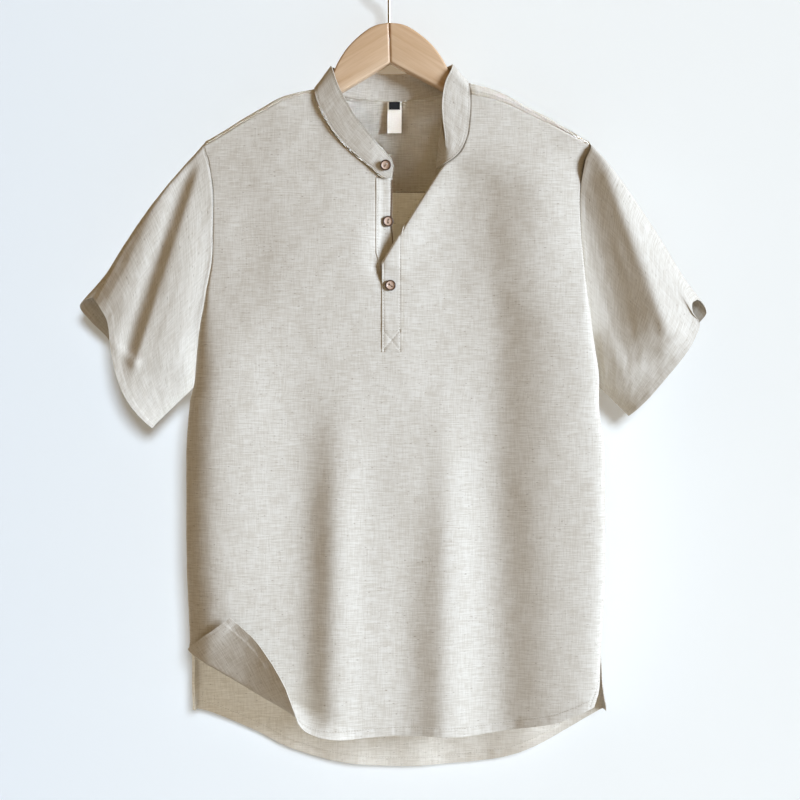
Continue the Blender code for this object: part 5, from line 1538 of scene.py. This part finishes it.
# ---------------------------------------------------------------- finishes
def node(tree, kind, inputs=None, **settings):
    """A node with its settings and its inputs, each a value or another node's output."""
    made = tree.nodes.new(kind)
    for name, value in settings.items():
        setattr(made, name, value)
    for name, value in (inputs or {}).items():
        socket = made.inputs[name]
        if isinstance(value, bpy.types.NodeSocket):
            tree.links.new(value, socket)
        else:
            socket.default_value = value
    return made


def group(name, inputs, outputs):
    """An empty shader node group with its named inputs and outputs."""
    tree = bpy.data.node_groups.new(name, "ShaderNodeTree")
    kinds = {"value": "NodeSocketFloat", "colour": "NodeSocketColor", "vector": "NodeSocketVector"}
    for way, sockets in (("INPUT", inputs), ("OUTPUT", outputs)):
        for label_text, kind in sockets.items():
            tree.interface.new_socket(label_text, in_out=way, socket_type=kinds[kind])
    return tree, tree.nodes.new("NodeGroupInput"), tree.nodes.new("NodeGroupOutput")


def calc(tree, operation, first, second=0.0, third=None):
    """The output of one Math node."""
    inputs = {0: first, 1: second}
    if third is not None:
        inputs[2] = third
    return node(tree, "ShaderNodeMath", inputs, operation=operation).outputs[0]


def streaks(tree, spot, along, across, seed, detail=2.0):
    """Noise drawn out along one way: its paces along and across, per metre."""
    scaled = node(tree, "ShaderNodeVectorMath", {0: spot, 1: (along, across, 1.0)},
                  operation="MULTIPLY").outputs[0]
    moved = node(tree, "ShaderNodeVectorMath", {0: scaled, 1: (seed, seed * 0.7, seed)},
                 operation="ADD").outputs[0]
    return node(tree, "ShaderNodeTexNoise", {"Vector": moved, "Scale": 1.0, "Detail": detail,
                                             "Roughness": 0.6}).outputs[0]


def ramp(tree, value, low, high, to_low=0.0, to_high=1.0):
    """A value moved from one range to another and held there."""
    return node(tree, "ShaderNodeMapRange", {
        "Value": value, "From Min": low, "From Max": high, "To Min": to_low,
        "To Max": to_high}).outputs[0]


def mixed(tree, share, first, second, way="MIX"):
    """Two colours mixed."""
    return node(tree, "ShaderNodeMix", {0: share, 6: first, 7: second}, data_type="RGBA",
                blend_type=way).outputs[2]


THREAD_PAIR = 0.0009     # metres from one thread of the weave to the next but one


def slub_weave():
    """Plain weave of uneven linen-blend threads: colour, height and roughness on a UV map in metres."""
    tree, start, end = group("Slub weave", {
        "Cloth": "vector", "Light": "colour", "Dark": "colour", "Fleck": "colour"},
        {"Colour": "colour", "Height": "value", "Roughness": "value"})
    spot = start.outputs["Cloth"]
    weft = streaks(tree, spot, 60.0, 850.0, 3.1)
    warp = streaks(tree, spot, 950.0, 60.0, 8.7)
    cloud = streaks(tree, spot, 22.0, 30.0, 5.5, 3.0)
    thread = calc(tree, "ADD", calc(tree, "MULTIPLY", weft, 0.62), calc(tree, "MULTIPLY", warp, 0.38))
    tone = calc(tree, "ADD", thread, calc(tree, "MULTIPLY", calc(tree, "SUBTRACT", cloud, 0.5), 0.10))
    colour = mixed(tree, ramp(tree, tone, 0.40, 0.60), start.outputs["Dark"], start.outputs["Light"])
    across = ramp(tree, streaks(tree, spot, 150.0, 900.0, 14.2, 1.0), 0.70, 0.80)
    down = ramp(tree, streaks(tree, spot, 900.0, 110.0, 21.9, 1.0), 0.70, 0.80)
    knots = ramp(tree, streaks(tree, spot, 260.0, 620.0, 33.0, 0.0), 0.76, 0.84)
    fleck = calc(tree, "MAXIMUM", calc(tree, "MAXIMUM", across, calc(tree, "MULTIPLY", down, 0.7)),
                 knots)
    colour = mixed(tree, calc(tree, "MULTIPLY", fleck, 0.55), colour, start.outputs["Fleck"])
    parts = node(tree, "ShaderNodeSeparateXYZ", {0: spot})
    pace = 2 * math.pi / THREAD_PAIR
    over = calc(tree, "SINE", calc(tree, "MULTIPLY", parts.outputs[0], pace))
    under = calc(tree, "SINE", calc(tree, "MULTIPLY", parts.outputs[1], pace))
    weave = calc(tree, "MULTIPLY", calc(tree, "ADD", over, under), 0.18)
    height = calc(tree, "ADD", calc(tree, "ADD", weave, thread), calc(tree, "MULTIPLY", fleck, 0.3))
    tree.links.new(colour, end.inputs["Colour"])
    tree.links.new(height, end.inputs["Height"])
    tree.links.new(ramp(tree, thread, 0.3, 0.7, 0.78, 0.95), end.inputs["Roughness"])
    return tree


def material(name, rough=0.9, metal=0.0, sheen=0.0, coat=0.0):
    """A new material, its tree and its shader."""
    made = bpy.data.materials.new(name)
    made.use_nodes = True
    shader = made.node_tree.nodes["Principled BSDF"]
    shader.inputs["Roughness"].default_value = rough
    shader.inputs["Metallic"].default_value = metal
    shader.inputs["Sheen Weight"].default_value = sheen
    shader.inputs["Coat Weight"].default_value = coat
    return made, made.node_tree, shader


def finish(tree, shader, colour, rough=None, height=None, strength=0.0, distance=0.0002):
    """Gives the shader its colour and, where they are given, its roughness and its fine relief."""
    tree.links.new(colour, shader.inputs["Base Color"])
    if rough is not None:
        tree.links.new(rough, shader.inputs["Roughness"])
    if height is not None:
        relief = node(tree, "ShaderNodeBump", {"Height": height, "Strength": strength,
                                               "Distance": distance})
        tree.links.new(relief.outputs[0], shader.inputs["Normal"])


def woven(name, light, dark, fleck, bump, sheen=0.12, scale=1.0):
    """A cloth woven of uneven threads."""
    made, tree, shader = material(name, sheen=sheen)
    spot = node(tree, "ShaderNodeUVMap").outputs[0]
    if scale != 1.0:
        spot = node(tree, "ShaderNodeVectorMath", {0: spot, 1: (scale, scale, 1.0)},
                    operation="MULTIPLY").outputs[0]
    weave = node(tree, "ShaderNodeGroup", {
        "Cloth": spot, "Light": (*light, 1.0), "Dark": (*dark, 1.0), "Fleck": (*fleck, 1.0)},
        node_tree=WEAVE)
    finish(tree, shader, weave.outputs["Colour"], weave.outputs["Roughness"],
           weave.outputs["Height"], bump, 0.0003)
    return made


def coconut(name, dark, light, haze):
    """Coconut shell, with short pale fibres."""
    made, tree, shader = material(name, rough=0.42, coat=0.15)
    spot = node(tree, "ShaderNodeTexCoord").outputs["Object"]
    fibre = streaks(tree, spot, 900.0, 2600.0, 4.0, 3.0)
    cloud = streaks(tree, spot, 420.0, 420.0, 9.0, 2.0)
    colour = mixed(tree, ramp(tree, fibre, 0.35, 0.7), (*dark, 1.0), (*light, 1.0))
    colour = mixed(tree, ramp(tree, cloud, 0.4, 0.7, 0.0, 0.5), colour, (*haze, 1.0))
    finish(tree, shader, colour, height=fibre, strength=0.25)
    return made


ARM_SLOPE = -31.0        # the grain runs along each arm, down this many degrees


def wood():
    """Pale hanger wood: fine straight grain along each arm, a satin varnish."""
    made, tree, shader = material("Pale hanger wood", rough=0.42, coat=0.18)
    spot = node(tree, "ShaderNodeTexCoord").outputs["Object"]
    parts = node(tree, "ShaderNodeSeparateXYZ", {0: spot})
    side = calc(tree, "ABSOLUTE", parts.outputs[0])
    slope = math.radians(ARM_SLOPE)
    along = calc(tree, "ADD", calc(tree, "MULTIPLY", side, math.cos(slope)),
                 calc(tree, "MULTIPLY", parts.outputs[2], math.sin(slope)))
    across = calc(tree, "SUBTRACT", calc(tree, "MULTIPLY", parts.outputs[2], math.cos(slope)),
                  calc(tree, "MULTIPLY", side, math.sin(slope)))
    plank = node(tree, "ShaderNodeCombineXYZ", {0: along, 1: across, 2: parts.outputs[1]}).outputs[0]
    grain = streaks(tree, plank, 14.0, 420.0, 2.0, 3.0)
    bands = streaks(tree, plank, 5.0, 70.0, 6.0, 2.0)
    pores = ramp(tree, streaks(tree, plank, 60.0, 1800.0, 12.0, 1.0), 0.62, 0.72)
    colour = mixed(tree, ramp(tree, bands, 0.3, 0.7), (0.56, 0.35, 0.19, 1), (0.72, 0.52, 0.34, 1))
    colour = mixed(tree, ramp(tree, grain, 0.45, 0.75, 0.0, 0.45), colour, (0.47, 0.27, 0.13, 1))
    colour = mixed(tree, calc(tree, "MULTIPLY", pores, 0.25), colour, (0.30, 0.16, 0.08, 1))
    finish(tree, shader, colour, ramp(tree, grain, 0.3, 0.7, 0.36, 0.5), grain, 0.15)
    return made


def steel():
    """Bright drawn wire."""
    made, tree, shader = material("Steel wire", rough=0.28, metal=1.0)
    spot = node(tree, "ShaderNodeTexCoord").outputs["Object"]
    drawn = streaks(tree, spot, 3000.0, 60.0, 2.0, 2.0)
    colour = mixed(tree, drawn, (0.42, 0.42, 0.42, 1), (0.68, 0.68, 0.67, 1))
    finish(tree, shader, colour, ramp(tree, drawn, 0.3, 0.7, 0.22, 0.36))
    return made


def plain_thread(name, light, dark):
    """Sewing thread, twisted."""
    made, tree, shader = material(name, rough=0.7, sheen=0.2)
    spot = node(tree, "ShaderNodeTexCoord").outputs["Object"]
    tone = streaks(tree, spot, 700.0, 700.0, 1.0, 2.0)
    finish(tree, shader, mixed(tree, tone, (*dark, 1.0), (*light, 1.0)))
    return made


# ---------------------------------------------------------------- the whole
WEAVE = slub_weave()
LINEN = woven("Oatmeal linen blend", (0.68, 0.63, 0.545), (0.55, 0.49, 0.40), (0.22, 0.15, 0.09), 0.55)
# the topstitching thread is darker than the cloth it matches: painted shade of the grooves the stitches
# lie in
THREAD = plain_thread("Oatmeal thread darkened as groove shade", (0.44, 0.385, 0.30), (0.32, 0.27, 0.20))
# dark brown thread for lines of painted shade
SHADE_LINE_THREAD = plain_thread("Brown thread as painted shade", (0.20, 0.105, 0.045), (0.10, 0.05, 0.02))
BUTTON_THREAD = plain_thread("Button thread", (0.30, 0.20, 0.13), (0.16, 0.09, 0.05))
COCONUT = coconut("Coconut shell", (0.40, 0.255, 0.17), (0.60, 0.42, 0.31), (0.66, 0.49, 0.38))
COCONUT_RIM = coconut("Coconut rim", (0.035, 0.016, 0.008), (0.10, 0.048, 0.026), (0.13, 0.07, 0.04))
# near black: painted shade in the buttons' holes
COCONUT_HOLE_SHADE = coconut("Coconut hole shade", (0.02, 0.01, 0.006), (0.04, 0.02, 0.012), (0.04, 0.02, 0.012))
WOOD = wood()
STEEL = steel()
CREAM = woven("Cream satin label", (0.95, 0.93, 0.88), (0.88, 0.85, 0.78), (0.80, 0.75, 0.66), 0.25,
              sheen=0.3, scale=3.0)
BLACK = woven("Black woven tab", (0.014, 0.014, 0.016), (0.006, 0.006, 0.007), (0.03, 0.03, 0.03),
              0.4, scale=2.0)

front_cloth = front()
back_cloth = back()
yoke_cloth = yoke()
sleeve_left_cloth = sleeve("left", -1)
sleeve_right_cloth = sleeve("right", 1)
band_cloth = collar_band()
overlap_cloth = placket_overlap()
underlap_cloth = placket_underlap()
stitching = stitches("stitches", TOPSTITCHED, THREAD)
# the lines of painted shade, made as dark brown thread
shade_lines = stitches("painted_shade_lines", SHADE_LINE, SHADE_LINE_THREAD)

button_lower = placket_button("button_lower_shell", 1.5, -374.3, hang_right,
                              STRIP_CLOTH + 0.6, -38.0)
button_upper = placket_button("button_upper_shell", -0.6, -302.5, hang_underlap,
                              STRIP_CLOTH + 0.4, 84.0)
button_collar = button("button_collar_shell", (-3.4, -26.6, -243.0), (-0.02, -1.0, -0.12), 42.0)
care_label = label("care_label_cloth", 15.6, 34.0, (-1.8, 11.6, -168.4), -0.5, CREAM)
size_tab = label("size_tab_cloth", 12.1, 8.4, (-0.1, 10.15, -168.0), -0.3, BLACK)
arm_left = hanger_arm("arm_left", -1)
arm_right = hanger_arm("arm_right", 1)
wire_hook = hook()

for made, nodes, finish_slot in (
        (front_cloth, ("front",), "linen"), (back_cloth, ("back",), "linen"),
        (yoke_cloth, ("yoke",), "linen"), (sleeve_left_cloth, ("sleeve_left",), "linen"),
        (sleeve_right_cloth, ("sleeve_right",), "linen"), (band_cloth, ("collar_band",), "linen"),
        (overlap_cloth, ("placket_overlap",), "linen"),
        (underlap_cloth, ("placket_underlap",), "linen"), (stitching, (), "linen"),
        (shade_lines, (), "button"),
        (button_lower, ("button_lower",), "button"), (button_upper, ("button_upper",), "button"),
        (button_collar, ("button_collar",), "button"), (care_label, ("care_label",), "cream_tape"),
        (size_tab, ("size_tab",), "black_tape"), (arm_left, ("hanger_arm_left",), "wood"),
        (arm_right, ("hanger_arm_right",), "wood"), (wire_hook, ("hanger_hook",), "steel")):
    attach(made, "root")
    if nodes:
        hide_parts(*nodes)


# ---------------------------------------------------------------- stage, lights, camera
def board(name, size, where, turn, colour):
    """A flat pale board of the stage."""
    bm = bmesh.new()
    bmesh.ops.create_grid(bm, x_segments=1, y_segments=1, size=size / 2)
    bmesh.ops.rotate(bm, verts=bm.verts, matrix=Matrix.Rotation(turn, 3, "X"))
    bmesh.ops.translate(bm, verts=bm.verts, vec=where)
    paint, tree, shader = material(name + " paint")
    shader.inputs["Base Color"].default_value = (*colour, 1.0)
    made = piece(name, mesh_of(name, bm), paint)
    return made, tree, shader


def wall_behind():
    """The wall: painted shade makes it a little darker at its left; clear from behind, and no light comes
    back from it.
    """
    made, tree, shader = board("wall", 8.0, (0.0, 0.045, -0.5), math.pi / 2, (0.90, 0.94, 0.98))
    along = node(tree, "ShaderNodeSeparateXYZ", {
        0: node(tree, "ShaderNodeTexCoord").outputs["Object"]}).outputs[0]
    # painted shade: the wall's colour darkens towards the left, away from the window's light
    finish(tree, shader, mixed(tree, ramp(tree, along, -0.45, 0.05), (0.81, 0.87, 0.95, 1.0),
                               (0.91, 0.945, 0.98, 1.0)))
    behind = node(tree, "ShaderNodeNewGeometry").outputs["Backfacing"]
    clear = node(tree, "ShaderNodeBsdfTransparent").outputs[0]
    either = node(tree, "ShaderNodeMixShader", {0: behind, 1: shader.outputs[0], 2: clear})
    tree.links.new(either.outputs[0], tree.nodes["Material Output"].inputs["Surface"])
    for ray in ("visible_diffuse", "visible_glossy", "visible_transmission", "visible_shadow"):
        setattr(made, ray, False)
    return made


def lamp(name, azimuth, elevation, softness, strength, colour):
    """A far soft lamp, in degrees: to the right of the camera, above it, and the size of its disc."""
    light = bpy.data.lights.new(name, "SUN")
    light.angle = math.radians(softness)
    light.energy = strength
    light.color = colour
    made = added(name, light)
    turn, rise = math.radians(azimuth), math.radians(elevation)
    way = Vector((math.sin(turn) * math.cos(rise), -math.cos(turn) * math.cos(rise), math.sin(rise)))
    made.location = way * 3.0
    made.rotation_euler = way.to_track_quat("Z", "Y").to_euler()
    return made


def narrow_lamp(name, where, aim, strength, wide, colour):
    """A lamp near by, whose soft round patch of light is this many degrees wide."""
    light = bpy.data.lights.new(name, "SPOT")
    light.energy = strength
    light.color = colour
    light.spot_size = math.radians(wide)
    light.spot_blend = 1.0
    light.shadow_soft_size = 0.1
    made = added(name, light)
    made.location = where
    made.rotation_euler = (made.location - Vector(aim)).to_track_quat("Z", "Y").to_euler()
    return made


def chosen(name, items, state):
    """A collection of these objects, each with this state of light linking."""
    made = bpy.data.collections.new(name)
    for item in items:
        made.objects.link(item)
    for entry in made.collection_objects:
        entry.light_linking.link_state = state
    return made


def light_only(light, items, state="INCLUDE", shaded_by=None):
    """The light reaches only these objects, or all but them; `shaded_by` names what shades it."""
    light.light_linking.receiver_collection = chosen(light.name + " reaches", items, state)
    if shaded_by:
        light.light_linking.blocker_collection = chosen(*shaded_by)


def lights():
    """Daylight from a window at the upper right, and the softer light that the room gives back."""
    window = (62.0, 8.0, 24.0, 6.35, (0.67, 0.805, 1.0))
    light_only(lamp("window", *window), (wall, sleeve_left_cloth), "EXCLUDE")
    light_only(lamp("window, left sleeve", *window), (sleeve_left_cloth,),
               shaded_by=("not shaded by the body", (front_cloth,), "EXCLUDE"))
    light_only(lamp("wall light", 12.0, 16.0, 16.0, 2.5, (0.81, 0.91, 1.0)), (wall,))
    lamp("low room", -20.0, -38.0, 50.0, 0.3, (1.0, 0.86, 0.66))
    light_only(lamp("under the hem", 34.0, -16.0, 20.0, 1.1, (0.85, 0.93, 1.0)), (back_cloth,))
    light_only(lamp("through the cloth", 20.0, -10.0, 30.0, 1.45, (1.0, 0.88, 0.64)),
               (back_cloth,), shaded_by=("only the floor shades it", (floor,), "INCLUDE"))
    light_only(narrow_lamp("card", (-0.42, -1.0, -0.95), (-0.160, 0.02, -0.815), 26.0, 11.0,
                           (0.84, 0.93, 1.0)), (back_cloth,),
               shaded_by=("only the floor shades the card", (floor,), "INCLUDE"))
    light_only(lamp("on the label", 10.0, 6.0, 30.0, 1.0, (1.0, 0.95, 0.86)), (care_label,))
    light_only(lamp("in the neck", -34.0, 4.0, 20.0, 0.25, (1.0, 0.84, 0.56)), (yoke_cloth,))
    lamp("back room", 205.0, 12.0, 40.0, 1.6, (0.9, 0.95, 1.0))


def daylight():
    """The room's warm light from all round, and the pale colour that shows beyond the stage."""
    world = bpy.data.worlds.new("Soft daylight")
    bpy.context.scene.world = world
    world.use_nodes = True
    tree = world.node_tree
    room = tree.nodes["Background"]
    room.inputs["Color"].default_value = (1.0, 0.66, 0.24, 1.0)
    room.inputs["Strength"].default_value = 0.27
    pale = node(tree, "ShaderNodeBackground", {"Color": (0.80, 0.84, 0.87, 1.0)}).outputs[0]
    seen = node(tree, "ShaderNodeLightPath").outputs["Is Camera Ray"]
    both = node(tree, "ShaderNodeMixShader", {0: seen, 1: room.outputs[0], 2: pale})
    tree.links.new(both.outputs[0], tree.nodes["World Output"].inputs["Surface"])


def camera():
    """The camera, level, straight in front of the shirt."""
    eye = bpy.data.cameras.new("camera")
    eye.sensor_width = 36.0
    eye.lens = 73.6
    made = added("camera", eye)
    made.location = (0.0121, -1.8, -0.4978)
    made.rotation_euler = (math.pi / 2, 0.0, 0.0)
    bpy.context.scene.camera = made
    bpy.context.scene.view_settings.view_transform = "Standard"


floor = board("floor", 12.0, (0.0, 0.0, -1.45), 0.0, (0.86, 0.88, 0.89))[0]
wall = wall_behind()
lights()
daylight()
camera()
